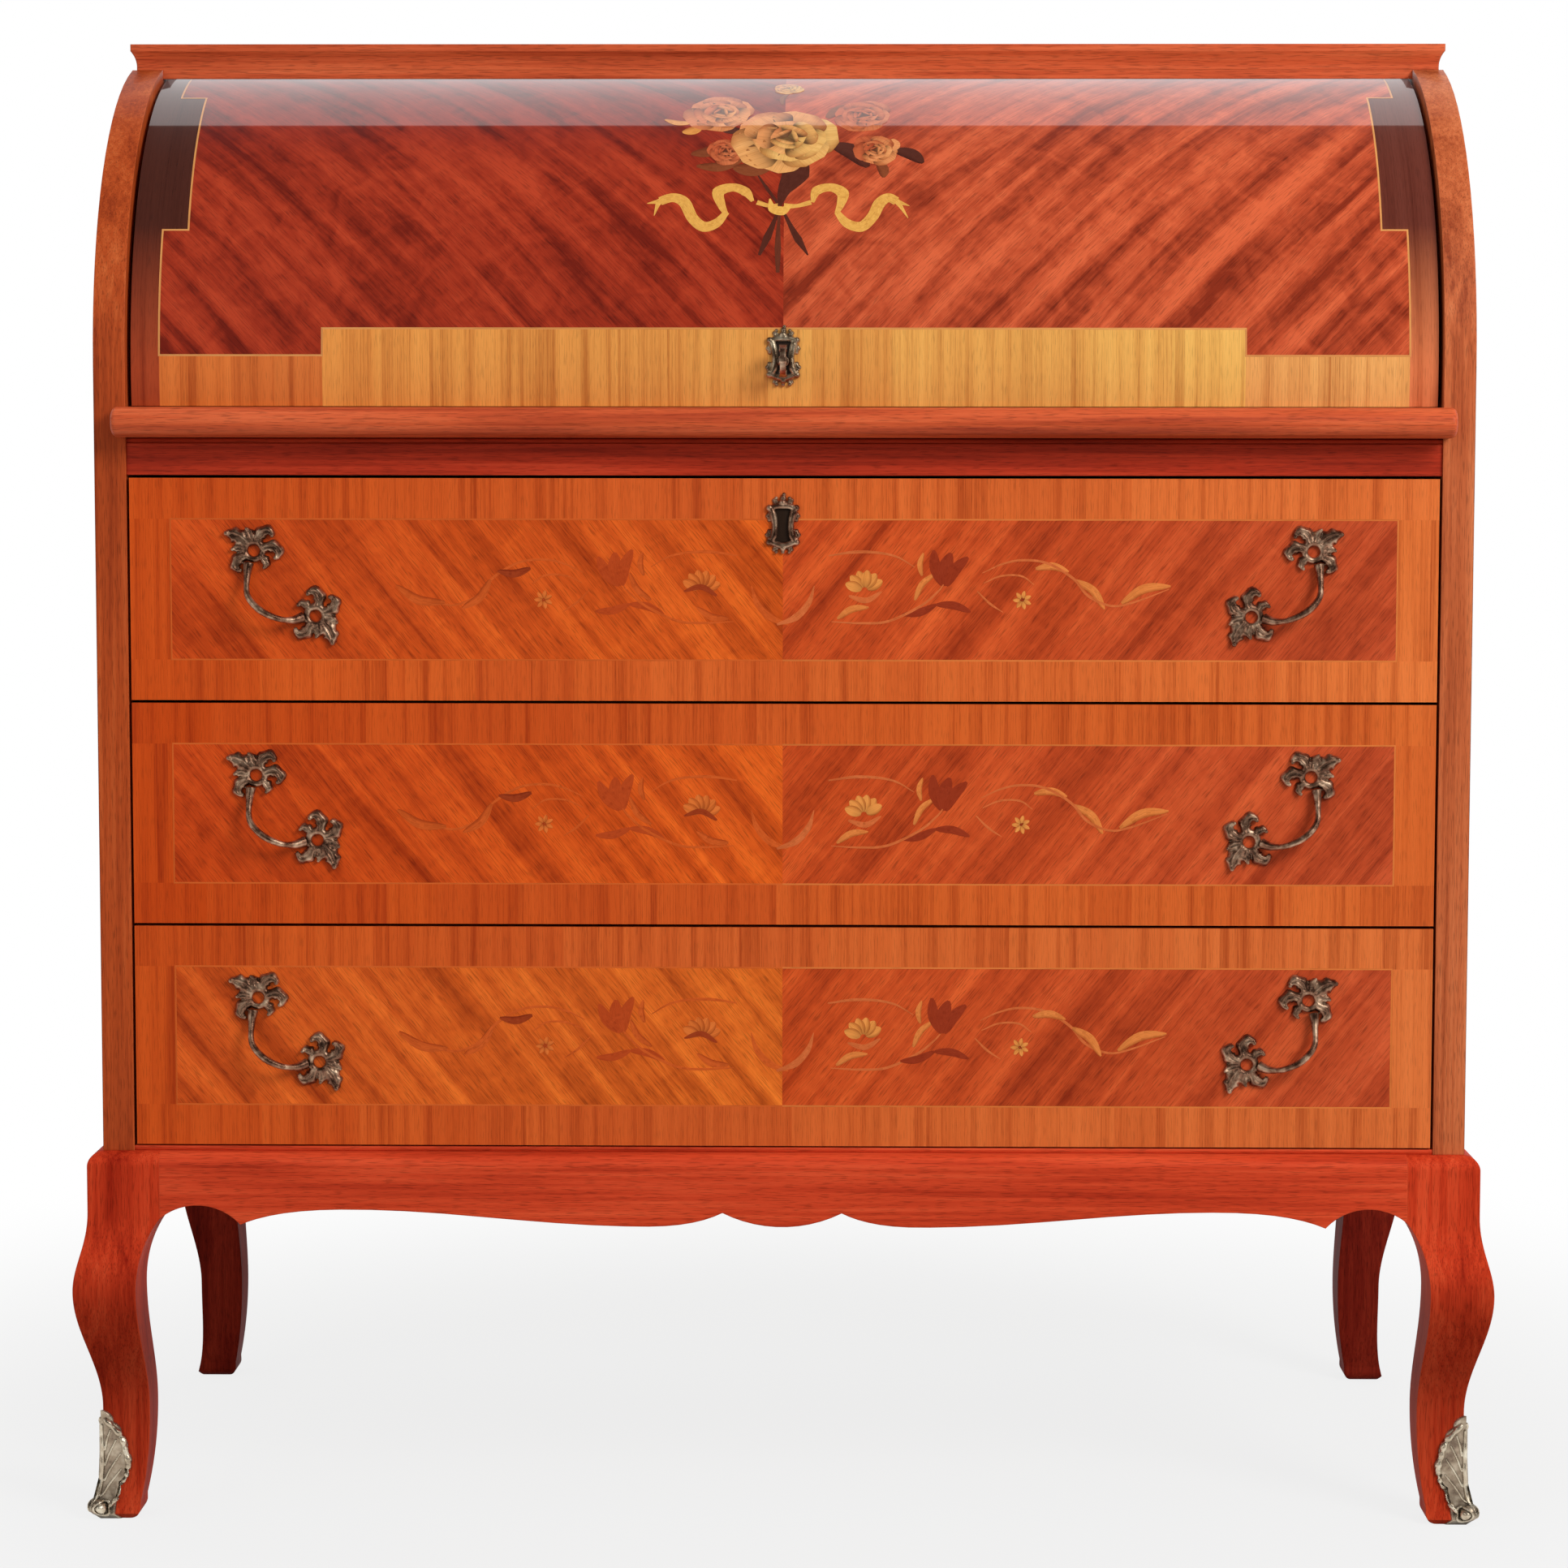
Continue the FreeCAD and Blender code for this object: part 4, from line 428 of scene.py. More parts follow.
dress(wood("mahogany_across", *MAHOGANY, along="x"), "cornice_front", "top_board", "top_front_rail",
      "slide_nosing", "writing_board", "desk_deck", "pigeonhole_top", "pigeonhole_shelves",
      "small_drawer_left_front", "small_drawer_right_front")
dress(wood("mahogany_deep", *MAHOGANY, along="y"), "cornice_left", "cornice_right")
dress(wood("apron_red_across", *APRON_RED, along="x", **APRON_POLISH), "front_apron")
dress(wood("apron_red_deep", *APRON_RED, along="y", **APRON_POLISH), "side_apron_left", "side_apron_right")
dress(wood("leg_red", *LEG_RED, along="z", painted_shade=LEG_PAINTED_SHADE, **LEG_POLISH), "leg_front_left", "leg_front_right")
dress(wood("leg_shaded_back", *LEG_SHADED_BACK, along="z", **LEG_POLISH), "leg_back_left", "leg_back_right")
dress(wood("mahogany_upright", *MAHOGANY, along="z"), "pigeonhole_uprights")
dress(wood("rail_red", *RAIL_RED, along="x"), "slide_rail")
dress(wood("side_brown", *SIDE_BROWN, along="z"), "side_panel_left", "cylinder_cheek_left",
      "cylinder_cheek_right", "cylinder_shell", *[f"drawer_{number}_front" for number in LONG_DRAWERS])
dress(wood("side_brown_painted_lit", *SIDE_BROWN_PAINTED_LIT, along="z"), "side_panel_right")
dress(wood("oak_across", *OAK, along="x", coat=0.0), "back_panel", "bottom_board", "back_rail", "front_batten",
      *[f"drawer_{number}_{part}" for number in LONG_DRAWERS for part in ("back", "bottom")])
dress(wood("oak_deep", *OAK, along="y", coat=0.0), "slide_runners", "drawer_runners", "glue_blocks",
      "small_drawer_left_tray", "small_drawer_right_tray",
      *[f"drawer_{number}_sides" for number in LONG_DRAWERS])
for name in ("top_front_rail", "cornice_front", "top_board"):
    nodes[name].visible_glossy = False
print("solid boards dressed")

# %% [markdown]
# ## Wear strips
# The writing slide runs on its bearers a few millimetres above the rail, and the lowest drawer as high over the
# base. A strip of the same red wood with a rounded front all but closes each gap, so no light shows through it.
# It is one profile drawn from side to side.

# %% Wear strips under the slide and the lowest drawer
STRIP_PROFILE = ((0, 0), (0.6, -0.5), (2.2, -0.9), (3.2, -0.5), (3.6, 0.4), (3.6, 10), (0, 10))
STRIP_SETBACK = 1.5


def new_piece(shape, name, finish, body, node=None):
    """Make a drawn shape a piece that rides with its body and may stand for a CAD node; gives back its mesh."""
    bmesh.ops.recalc_face_normals(shape, faces=shape.faces)
    mesh = bpy.data.meshes.new(name)
    shape.to_mesh(mesh)
    shape.free()
    mesh.materials.append(finish)
    piece = bpy.data.objects.new(name, mesh)
    bpy.context.scene.collection.objects.link(piece)
    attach(piece, body)
    if node:
        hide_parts(node)
    print(name, len(mesh.polygons), "faces")
    return mesh


def wear_strip(name, foot, front, colours):
    """A strip on a board, set back from a front; the profile gives height and depth in millimetres."""
    low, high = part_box("slide_rail")
    level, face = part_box(foot)[1].z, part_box(front)[0].y
    shape = bmesh.new()
    ends = [[shape.verts.new((across, face + (STRIP_SETBACK + deep) * MM, level + up * MM))
             for up, deep in STRIP_PROFILE] for across in (low.x, high.x)]
    count = len(STRIP_PROFILE)
    for number in range(count):
        after = (number + 1) % count
        shape.faces.new((ends[0][number], ends[0][after], ends[1][after], ends[1][number]))
    for end in ends:
        shape.faces.new(end)
    new_piece(shape, name, wood(name + "_red", *colours, along="x", shine=0.05), "carcase")


wear_strip("slide_wear_strip", "slide_rail", "slide_rail", RAIL_RED)
wear_strip("base_wear_strip", "front_apron", "drawer_3_front", APRON_RED)

# %% [markdown]
# ## Cast bronze and iron
# The mounts are cast bronze that has gone brown, almost black with patina in the hollows. Their edges are
# painted bright: partly the wear where hands rub the high places, partly a painted highlight. Ambient Occlusion finds
# the hollows and the Bevel node finds the edges, so one finish suits every casting. The locks and pins are plain dark
# iron.

# %% Metal finishes
HOLLOW_REACH = 6 * MM
RUBBED_AND_HIGHLIGHT_SHARE = 0.7


def metal(name, dark, middle, bright, rough, grime):
    """Old metal, dark with patina in its hollows and bright on its edges, from wear and a painted highlight."""
    material, tree, shader = new_finish(name)
    place = add_node(tree, "ShaderNodeTexCoord").outputs["Object"]
    patches = add_node(tree, "ShaderNodeTexNoise", {"Vector": place, "Scale": 160.0, "Detail": 4.0}).outputs[0]
    colour = ramp(tree, patches, (0.32, dark), (0.5, middle), (0.72, bright))
    open_air = add_node(tree, "ShaderNodeAmbientOcclusion", {"Distance": HOLLOW_REACH}, samples=8).outputs["AO"]
    colour = tint(tree, "MULTIPLY", grime, colour, ramp(tree, open_air, (0.25, 0.10), (0.85, 1.0)))
    edge, rounded = worn_edge(tree)
    # Painted highlight and wear: the edges are mixed towards the bright colour.
    colour = tint(tree, "MIX", maths(tree, "MULTIPLY", edge, RUBBED_AND_HIGHLIGHT_SHARE), colour, (*bright, 1))
    pits = add_node(tree, "ShaderNodeTexNoise", {"Vector": place, "Scale": 900.0, "Detail": 3.0}).outputs[0]
    bump = add_node(tree, "ShaderNodeBump", {"Strength": 0.25, "Distance": 0.2 * MM, "Height": pits,
                                             "Normal": rounded})
    connect(tree, shader, colour, varying(tree, patches, rough, 0.08, 0.1), bump)
    shader.inputs["Metallic"].default_value = 0.9
    return material


bronze = metal("old_bronze", (0.12, 0.050, 0.030), (0.30, 0.150, 0.090), (0.70, 0.48, 0.32), 0.28, 0.95)
pale_bronze = metal("pale_bronze", (0.24, 0.150, 0.090), (0.48, 0.34, 0.21), (0.88, 0.74, 0.52), 0.26, 0.9)
iron = metal("dark_iron", (0.06, 0.055, 0.05), (0.13, 0.12, 0.11), (0.30, 0.28, 0.26), 0.45, 0.7)
rubbed_bronze = metal("rubbed_bronze", (0.42, 0.33, 0.23), (0.68, 0.56, 0.41), (0.95, 0.86, 0.68), 0.28, 0.7)
sabot_bronze = metal("sabot_bronze", (0.22, 0.155, 0.11), (0.44, 0.335, 0.235), (0.72, 0.60, 0.45), 0.32, 0.9)
dress(bronze, "cylinder_escutcheon", "key", "drawer_escutcheon", "small_knob_left", "small_knob_right",
      *[f"drawer_{number}_handles" for number in LONG_DRAWERS])
dress(sabot_bronze, "sabot_left", "sabot_right")
dress(iron, "pivot_pins", "cylinder_lock", "drawer_lock")
print("castings and ironwork dressed")

# %% [markdown]
# ## Laying veneer
# Marquetry is a jigsaw of thin woods glued on a plain board. Each shape is drawn flat, as on the bench:
# a polygon, or a band that follows a line and swells and narrows like a leaf. The flat drawing is then
# given a little thickness and wrapped on its surface, a flat drawer front or the round cylinder. Two maps
# go with every shape: one carries its own grain direction, and one runs from the root of a petal to its
# tip, for the scorched shading. The colour of each shape is painted on its corners.

# %% Veneer drawing helpers
random.seed(17)
STRIP = 5 * MM
GLUE_DEPTH = 0.2 * MM
LOG_LENGTH = 9
LOG_SLANT = 0.37
SHARPEST_MITRE = 0.6
THINNEST = 0.12
SHARP_EDGE = math.radians(30)


def smooth_line(points, steps=6):
    """A curve through the points, by the Catmull-Rom rule."""
    knots = [Vector(point) for point in points]
    knots = [2 * knots[0] - knots[1], *knots, 2 * knots[-1] - knots[-2]]
    line = []
    for before, start, end, after in zip(knots, knots[1:], knots[2:], knots[3:]):
        for step in range(steps):
            t = step / steps
            line.append(0.5 * (2 * start + (end - before) * t
                               + (2 * before - 5 * start + 4 * end - after) * t ** 2
                               + (3 * start - before - 3 * end + after) * t ** 3))
    return line + [knots[-2]]


def aimed(angle):
    """A flat arrow of length 1."""
    return Vector((math.cos(angle), math.sin(angle)))


def new_sheet():
    """An empty sheet of marquetry with its maps."""
    sheet = bmesh.new()
    sheet.loops.layers.uv.new("grain")
    sheet.loops.layers.uv.new("petal")
    sheet.loops.layers.float_color.new("stain")
    return sheet


def map_face(sheet, face, grain, shift, stain, petal=None):
    """Write a face's grain direction, colour and place along the petal."""
    grain_map = sheet.loops.layers.uv["grain"]
    petal_map = sheet.loops.layers.uv["petal"]
    stain_map = sheet.loops.layers.float_color["stain"]
    along = aimed(grain)
    for number, loop in enumerate(face.loops):
        spot = loop.vert.co.to_2d()
        loop[grain_map].uv = (along.dot(spot) + shift, along.cross(spot) + LOG_SLANT * shift)
        loop[petal_map].uv = petal[number] if petal else (1.0, 1.0)
        loop[stain_map] = (*(stain(spot) if callable(stain) else stain), 1.0)


def cut_level(sheet, pieces, strip):
    """Cut faces along level lines, so that shapes wrapped on a curve all bend at the same places."""
    levels = [spot.co.y for face in pieces for spot in face.verts]
    for cut in range(math.floor(min(levels) / strip) + 1, math.ceil(max(levels) / strip)):
        around = {part for face in pieces for part in (face, *face.edges, *face.verts)}
        done = bmesh.ops.bisect_plane(sheet, geom=list(around), plane_co=(0, cut * strip, 0), plane_no=(0, 1, 0))
        pieces = [part for part in done["geom"] if isinstance(part, bmesh.types.BMFace)]
    return pieces


def lay_polygon(sheet, corners, grain, stain, height, strip=None):
    """A flat shape, cut into strips where it has to bend. Corners in mm, grain in degrees."""
    spots = [sheet.verts.new((across * MM, up * MM, height)) for across, up in corners]
    pieces = [sheet.faces.new(spots)]
    if strip:
        pieces = cut_level(sheet, pieces, strip)
    shift = random.uniform(0, LOG_LENGTH)
    for face in pieces:
        map_face(sheet, face, math.radians(grain), shift, stain)


def spread(values, share):
    """The value some share of the way along a row of values."""
    place = share * (len(values) - 1)
    index = min(int(place), len(values) - 2)
    return values[index] + (values[index + 1] - values[index]) * (place - index)


def lay_band(sheet, spine, widths, stain, height, scorch, crossed=False, steps=6):
    """A band along a line. Spine and widths in mm; the widths are spread evenly along it."""
    line = smooth_line(spine, steps) if steps > 1 else [Vector(point) for point in spine]
    last = len(line) - 1
    rims = []
    for number, spot in enumerate(line):
        before = (spot - line[max(number - 1, 0)]).normalized()
        after = (line[min(number + 1, last)] - spot).normalized()
        ahead = (before + after).normalized()
        mitre = 1.0 / max(SHARPEST_MITRE, ahead.dot(before if number else after))
        half = max(spread(widths, number / last), THINNEST) * 0.5 * mitre * Vector((-ahead.y, ahead.x))
        rims.append([sheet.verts.new((*((spot + side * half) * MM), height)) for side in (1, -1)])
    shift = random.uniform(0, LOG_LENGTH)
    for number, (near, far) in enumerate(zip(rims, rims[1:])):
        face = sheet.faces.new((near[0], near[1], far[1], far[0]))
        path = line[number + 1] - line[number]
        lie = math.atan2(path.y, path.x) + (math.pi / 2 if crossed else 0.0)
        start, end = [1.0 - scorch * (1.0 - step / last) for step in (number, number + 1)]
        fold = 0.0 if scorch else 1.0
        map_face(sheet, face, lie, shift, stain, [(start, 1.0), (start, fold), (end, fold), (end, 1.0)])


def finish_sheet(sheet, name, surface, body, finish, strip=None):
    """Thicken the drawing, wrap it on its surface and let it ride with its body."""
    if strip:
        cut_level(sheet, sheet.faces[:], strip)
    thick = bmesh.ops.extrude_face_region(sheet, geom=sheet.faces[:], use_keep_orig=True)
    for part in thick["geom"]:
        if isinstance(part, bmesh.types.BMVert):
            part.co.z = -GLUE_DEPTH
    for spot in sheet.verts:
        spot.co = surface(*spot.co)
    mesh = new_piece(sheet, name, finish, body)
    mesh.shade_smooth()
    mesh.set_sharp_from_angle(angle=SHARP_EDGE)


# %% [markdown]
# ## Veneer woods
# Three finishes do for all the marquetry. The fields are a mottled, striped mahogany whose clouds catch
# the light. The crossbands have close straight lines. The inlay woods are fine and even, and each petal
# is scorched dark at its root, as a maker does by dipping it in hot sand.

# %% Veneer finishes and surfaces
FIELD_RAMP = ((0.36, 0.20, 0.14), (0.72, 0.56, 0.50), (1.0, 1.0, 1.0))
BAND_RAMP = ((0.58, 0.40, 0.30), (0.90, 0.84, 0.78), (1.0, 1.0, 1.0))
INLAY_RAMP = ((0.66, 0.50, 0.36), (0.88, 0.82, 0.72), (1.0, 1.0, 1.0))


def veneers(place, figure, **varnish):
    """The three veneers of one place on the desk, all under its own varnish."""
    field = wood(place + "_field", *FIELD_RAMP, line=0.6, stained=True, **figure, **varnish)
    band = wood(place + "_band", *BAND_RAMP, ribbon=1.9, across=110.0, stained=True, pores=0.25, **varnish)
    inlay = wood(place + "_inlay", *INLAY_RAMP, ribbon=1.2, across=160.0, stained=True, scorch=True, pores=0.2,
                 **varnish)
    return field, band, inlay


MOTTLED = {"ribbon": 3.0, "cloud": 1.0, "across": 62.0, "length": 6.0}
STRIPED = {"ribbon": 1.8, "cloud": 0.5, "across": 54.0, "length": 3.5}
cylinder_field, cylinder_band, cylinder_inlay = veneers("cylinder", MOTTLED, coat=1.0, coat_index=1.9, bloom=0.5)
field_veneer, band_veneer, inlay_veneer = veneers("flat", STRIPED)
AXIS = Vector(joints["cylinder_roll"]["pos_m"])
shell_low, shell_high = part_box("cylinder_shell")
SHELL_RADIUS = AXIS.y - shell_low.y
FOOT_ANGLE = math.asin((shell_low.z - AXIS.z) / SHELL_RADIUS)


def on_cylinder(across, around, height):
    """A place on the cylinder: metres from the middle, round from the foot, and out from the shell."""
    angle = FOOT_ANGLE + around / SHELL_RADIUS
    reach = SHELL_RADIUS + height
    return Vector((across, AXIS.y - reach * math.cos(angle), AXIS.z + reach * math.sin(angle)))


def on_front(node):
    """A surface for a drawer front: metres from its middle, up from its foot, and out from its face."""
    low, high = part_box(node)
    middle = (low.x + high.x) / 2
    return lambda across, up, height: Vector((middle + across, low.y - height, low.z + up))


print("cylinder radius", round(SHELL_RADIUS / MM, 1), "mm, foot at", round(math.degrees(FOOT_ANGLE), 1))

# %% [markdown]
# ## Veneers of the cylinder
# Two leaves cut from one log meet in a V on the middle line. A line of light stringing steps round them.
# Outside it lie bands of dark rosewood, and along the foot a golden crossband made of short leaves
# with the grain upright. The right half is painted lighter than the left, as painted light from the right and as the
# painted sheen that cut leaves show because their grain leans the other way. The rosewood and the crossband are
# painted lighter towards the right end too.

# %% Cylinder field, bands and stringing
FIELD_HEIGHT = 0.10 * MM
STRING_HEIGHT = 0.16 * MM
STRING_WIDTH = 1.3
SHELL_HALF = shell_high.x / MM
TOP_MARGIN = 1.0
CYLINDER_TOP = SHELL_RADIUS * (math.asin((shell_high.z - AXIS.z) / SHELL_RADIUS) - FOOT_ANGLE) / MM - TOP_MARGIN
OUTER_LINE = 435.2
INNER_LINE = 417.2
STEP_HALF = 321.4
SIDE_STEP = 126.4
TOP_STEP = 267.5
BAND_LOW = 35.3
BAND_HIGH = 54.1
TOP_WIDENING = 2
FIELD_GRAIN = 47.0
TOP_PAINTED_SHADE = (170, 235)
FOOT_SHADE = (26, 131)
LEAF_WIDTHS = (26, 58)
LEAST_LEAF = 20
LEAF_SHADES = (0.86, 1.06)
SHADE_POWERS = (0.6, 1.3, 1.6)
# Painted light: the right leaf is painted lighter than the left, for light from the right and the sheen of the leaf.
CYLINDER_RED_LEFT_SHADED = (0.54, 0.054, 0.015)
# Painted shade: the left leaf darkens to this colour towards the top of the cylinder.
CYLINDER_RED_TOP_SHADED = (0.40, 0.026, 0.006)
CYLINDER_RED_RIGHT_LIT = (0.75, 0.130, 0.044)
# Painted light: each pair is a left and a right colour, the right one lighter for light from the right.
GOLD_LIT_TO_RIGHT = ((0.93, 0.31, 0.058), (1.0, 0.60, 0.15))
GOLD_CORNER_LIT_TO_RIGHT = ((0.88, 0.22, 0.038), (1.0, 0.52, 0.16))
ROSEWOOD_LIT_TO_RIGHT = ((0.09, 0.020, 0.011), (0.16, 0.034, 0.020))
ROSEWOOD_RED_LIT_TO_RIGHT = ((0.50, 0.075, 0.020), (0.85, 0.24, 0.09))
STRING_WOOD = (0.88, 0.40, 0.13)


def flipped(points, side):
    """The same drawing on the right, or mirrored on the left."""
    return [(side * across, up) for across, up in points]


def blend(first, second, share):
    """A colour part of the way from one to another."""
    return tuple(start + (end - start) * share for start, end in zip(first, second))


def rising(low, high, start, end):
    """A colour that changes from one to another between two heights in mm."""
    return lambda spot: blend(low, high, min(1.0, max(0.0, (spot.y / MM - start) / (end - start))))


def lay_string(sheet, line, width, stain):
    """A thin line of inlay along straight runs."""
    lay_band(sheet, line, [width, width], stain, STRING_HEIGHT, steps=1, scorch=0.0)


def crossband(sheet, start, end, low, high, stains_with_painted_light, strip=None):
    """Short leaves with the grain upright; the two colours are for the desk's left and right ends and paint light from
    the right.
    """
    place = start
    while place < end:
        width = random.uniform(*LEAF_WIDTHS)
        stop = end if end - place < width + LEAST_LEAF else place + width
        shade = random.uniform(*LEAF_SHADES)
        stain = blend(*stains_with_painted_light, 0.5 + 0.25 * (place + stop) / SHELL_HALF)
        leaf = tuple(shade ** power * part for power, part in zip(SHADE_POWERS, stain))
        lay_polygon(sheet, [(place, low), (stop, low), (stop, high), (place, high)], 90, leaf, FIELD_HEIGHT,
                    strip)
        place = stop


field_edge = [(0, BAND_HIGH), (STEP_HALF, BAND_HIGH), (STEP_HALF, BAND_LOW), (OUTER_LINE, BAND_LOW),
              (OUTER_LINE, SIDE_STEP), (INNER_LINE, SIDE_STEP),
              *[(across + TOP_WIDENING, up) for across, up in (
                  (INNER_LINE, TOP_STEP), (OUTER_LINE, TOP_STEP), (OUTER_LINE, CYLINDER_TOP))]]
sheet = new_sheet()
# Painted shade: the left leaf is painted darker towards the top, where the curve turns away from the light.
left_stain_and_shade = rising(CYLINDER_RED_LEFT_SHADED, CYLINDER_RED_TOP_SHADED, *TOP_PAINTED_SHADE)
for side, stain in ((-1, left_stain_and_shade), (1, CYLINDER_RED_RIGHT_LIT)):
    lay_polygon(sheet, flipped([*field_edge, (0, CYLINDER_TOP)], side), side * FIELD_GRAIN, stain,
                FIELD_HEIGHT, STRIP)
finish_sheet(sheet, "cylinder_field", on_cylinder, "cylinder", cylinder_field)

sheet = new_sheet()
side_edge = [(OUTER_LINE, 0), (SHELL_HALF, 0), (SHELL_HALF, CYLINDER_TOP), *field_edge[:3:-1]]
for side, dark, red in zip((-1, 1), ROSEWOOD_LIT_TO_RIGHT, ROSEWOOD_RED_LIT_TO_RIGHT):
    lay_polygon(sheet, flipped(side_edge, side), 90, rising(red, dark, *FOOT_SHADE), FIELD_HEIGHT, STRIP)
for start, end, high, stains_with_painted_light in ((-OUTER_LINE, -STEP_HALF, BAND_LOW, GOLD_CORNER_LIT_TO_RIGHT),
                                 (-STEP_HALF, STEP_HALF, BAND_HIGH, GOLD_LIT_TO_RIGHT),
                                 (STEP_HALF, OUTER_LINE, BAND_LOW, GOLD_CORNER_LIT_TO_RIGHT)):
    crossband(sheet, start, end, 0, high, stains_with_painted_light, STRIP)
finish_sheet(sheet, "cylinder_bands", on_cylinder, "cylinder", cylinder_band)


RUN_STEP = 5.0


def finely(points):
    """The same line with extra points on its long straight runs."""
    line = [Vector(points[0])]
    for start, end in zip(map(Vector, points), map(Vector, points[1:])):
        count = max(1, math.ceil((end - start).length / RUN_STEP))
        line += [start.lerp(end, number / count) for number in range(1, count + 1)]
    return line


sheet = new_sheet()
outline = flipped(field_edge[:0:-1], -1) + field_edge[1:]
lay_string(sheet, finely(outline), STRING_WIDTH, STRING_WOOD)
finish_sheet(sheet, "cylinder_stringing", on_cylinder, "cylinder", cylinder_inlay, STRIP)

# %% [markdown]
# ## Veneers of the drawers
# All drawers have one layout, so a function lays them, the three long ones and the two small ones inside:
# a crossband all round with upright grain, a line of stringing, and a field of two leaves that meet in a V.
# The left leaf is painted a shade more golden, as a painted sheen of the book-matched leaf, and each drawer is cut
# from its own part of the log. Every size is read from the front that carries the veneer.

# %% Drawer fields, bands and stringing
# Painted light: the crossband's colours are for the left and right ends, the right one lighter for light from the
# right.
DRAWER_GOLD_LIT_TO_RIGHT = ((0.74, 0.104, 0.010), (0.82, 0.200, 0.044))
DRAWER_GRAIN = 51.0
# Painted sheen: the left leaf is painted lighter than the right; each pair runs from the middle to the side.
DRAWER_LEFT_PAINTED_SHEEN = ((0.97, 0.185, 0.019), (0.85, 0.118, 0.015))
DRAWER_RIGHT_PAINTED_SHEEN = ((0.83, 0.128, 0.022), (0.70, 0.118, 0.036))
DRAWER_STRING = ((0.74, 0.145, 0.026), (0.80, 0.23, 0.055))
DRAWER_STRING_WIDTH = 1.1
DRAWER_BORDER = 28.5
SMALL_DRAWER_BORDER = 7.0
PLAIN_TONE = (1, 1, 1)
LEAF_TONES = {"drawer_2": ((0.92, 0.80, 0.68), (1.0, 0.93, 0.85)),
              "drawer_3": ((0.97, 0.99, 1.08), (1.05, 1.28, 1.35))}
FLAT_VENEERS = (("field", field_veneer), ("bands", band_veneer), ("stringing", inlay_veneer))


def toned(colours, tone):
    """Colours of another leaf of the same log."""
    return [tuple(min(1.0, part * share) for part, share in zip(colour, tone)) for colour in colours]


def outwards(middle, edge):
    """A colour that changes from the middle of the desk towards its sides."""
    return lambda spot: blend(middle, edge, abs(spot.x) / MM / SHELL_HALF)


def finish_layers(sheets, name, surface, body):
    """Finish the field, the bands and the stringing of one front or side."""
    for sheet, (part, veneer) in zip(sheets, FLAT_VENEERS):
        finish_sheet(sheet, f"{name}_{part}", surface, body, veneer)


def veneer_front(node, body, border):
    """Lay the field, the crossbands and the stringing of one drawer front."""
    low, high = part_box(node)
    wide, tall = (high.x - low.x) / 2 / MM, (high.z - low.z) / MM
    inner, top = wide - border, tall - border
    half = [(0, border), (inner, border), (inner, top), (0, top)]
    field, bands, lines = new_sheet(), new_sheet(), new_sheet()
    band_tone, left_tone = LEAF_TONES.get(body, (PLAIN_TONE, PLAIN_TONE))
    gold = toned(DRAWER_GOLD_LIT_TO_RIGHT, band_tone)
    for side, stains_with_painted_light, string in zip((-1, 1), (toned(DRAWER_LEFT_PAINTED_SHEEN, left_tone), DRAWER_RIGHT_PAINTED_SHEEN), DRAWER_STRING):
        lay_polygon(field, flipped(half, side), side * DRAWER_GRAIN, outwards(*stains_with_painted_light), FIELD_HEIGHT)
        lay_string(lines, flipped(half, side), DRAWER_STRING_WIDTH, string)
    for start, end, foot, head in ((-wide, wide, 0, border), (-wide, wide, top, tall), (-wide, -inner, border, top),
                                   (inner, wide, border, top)):
        crossband(bands, start, end, foot, head, gold)
    finish_layers((field, bands, lines), body, on_front(node), body)


for number in LONG_DRAWERS:
    veneer_front(f"drawer_{number}_front", f"drawer_{number}", DRAWER_BORDER)
for hand in ("left", "right"):
    veneer_front(f"small_drawer_{hand}_front", f"small_drawer_{hand}", SMALL_DRAWER_BORDER)

# %% [markdown]
# ## Side panels
# The sides carry the same scheme: a crossband that follows the curved front edge, a line, and a plain upright
# leaf inside it. The outline is worked out once for any distance from the edge, so band, line and leaf fit.
# The photograph doesn't show the sides, so this is how a maker would most likely have gone on.

# %% Crossband, line and field of the side panels
SIDE_BORDER = 40.0
CURVE_STEPS = 16
SIDE_LEAF = (0.62, 0.115, 0.030)
SIDE_CROSSBAND = (0.70, 0.145, 0.030)


def side_outline(inset):
    """The panel's outline in mm from its lower front corner, some distance in from the edge."""
    low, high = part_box("side_panel_right")
    deep, tall = (high.y - low.y) / MM, (high.z - low.z) / MM
    centre = Vector((AXIS.y - low.y, AXIS.z - low.z)) / MM
    radius = centre.x - inset
    last = math.asin((tall - inset - centre.y) / radius)
    turns = [last * step / CURVE_STEPS for step in range(CURVE_STEPS + 1)]
    curve = [centre + radius * Vector((-math.cos(turn), math.sin(turn))) for turn in turns]
    return [(deep / 2, inset), (inset, inset), *curve, (deep - inset, tall - inset), (deep - inset, inset),
            (deep / 2, inset)]


def on_side(hand):
    """A surface for the outside of one side panel: metres back from its front, up from its foot, and out."""
    low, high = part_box("side_panel_" + hand)
    face, out = (low.x, -1) if hand == "left" else (high.x, 1)
    return lambda deep, up, height: Vector((face + out * height, low.y + deep, low.z + up))


for hand in ("left", "right"):
    field, bands, lines = new_sheet(), new_sheet(), new_sheet()
    lay_polygon(field, side_outline(SIDE_BORDER)[:-1], 90, SIDE_LEAF, FIELD_HEIGHT)
    lay_band(bands, side_outline(SIDE_BORDER / 2), [SIDE_BORDER, SIDE_BORDER], SIDE_CROSSBAND, FIELD_HEIGHT,
             crossed=True, steps=1, scorch=0.0)
    lay_string(lines, side_outline(SIDE_BORDER), STRING_WIDTH, STRING_WOOD)
    finish_layers((field, bands, lines), "side_" + hand, on_side(hand), "carcase")

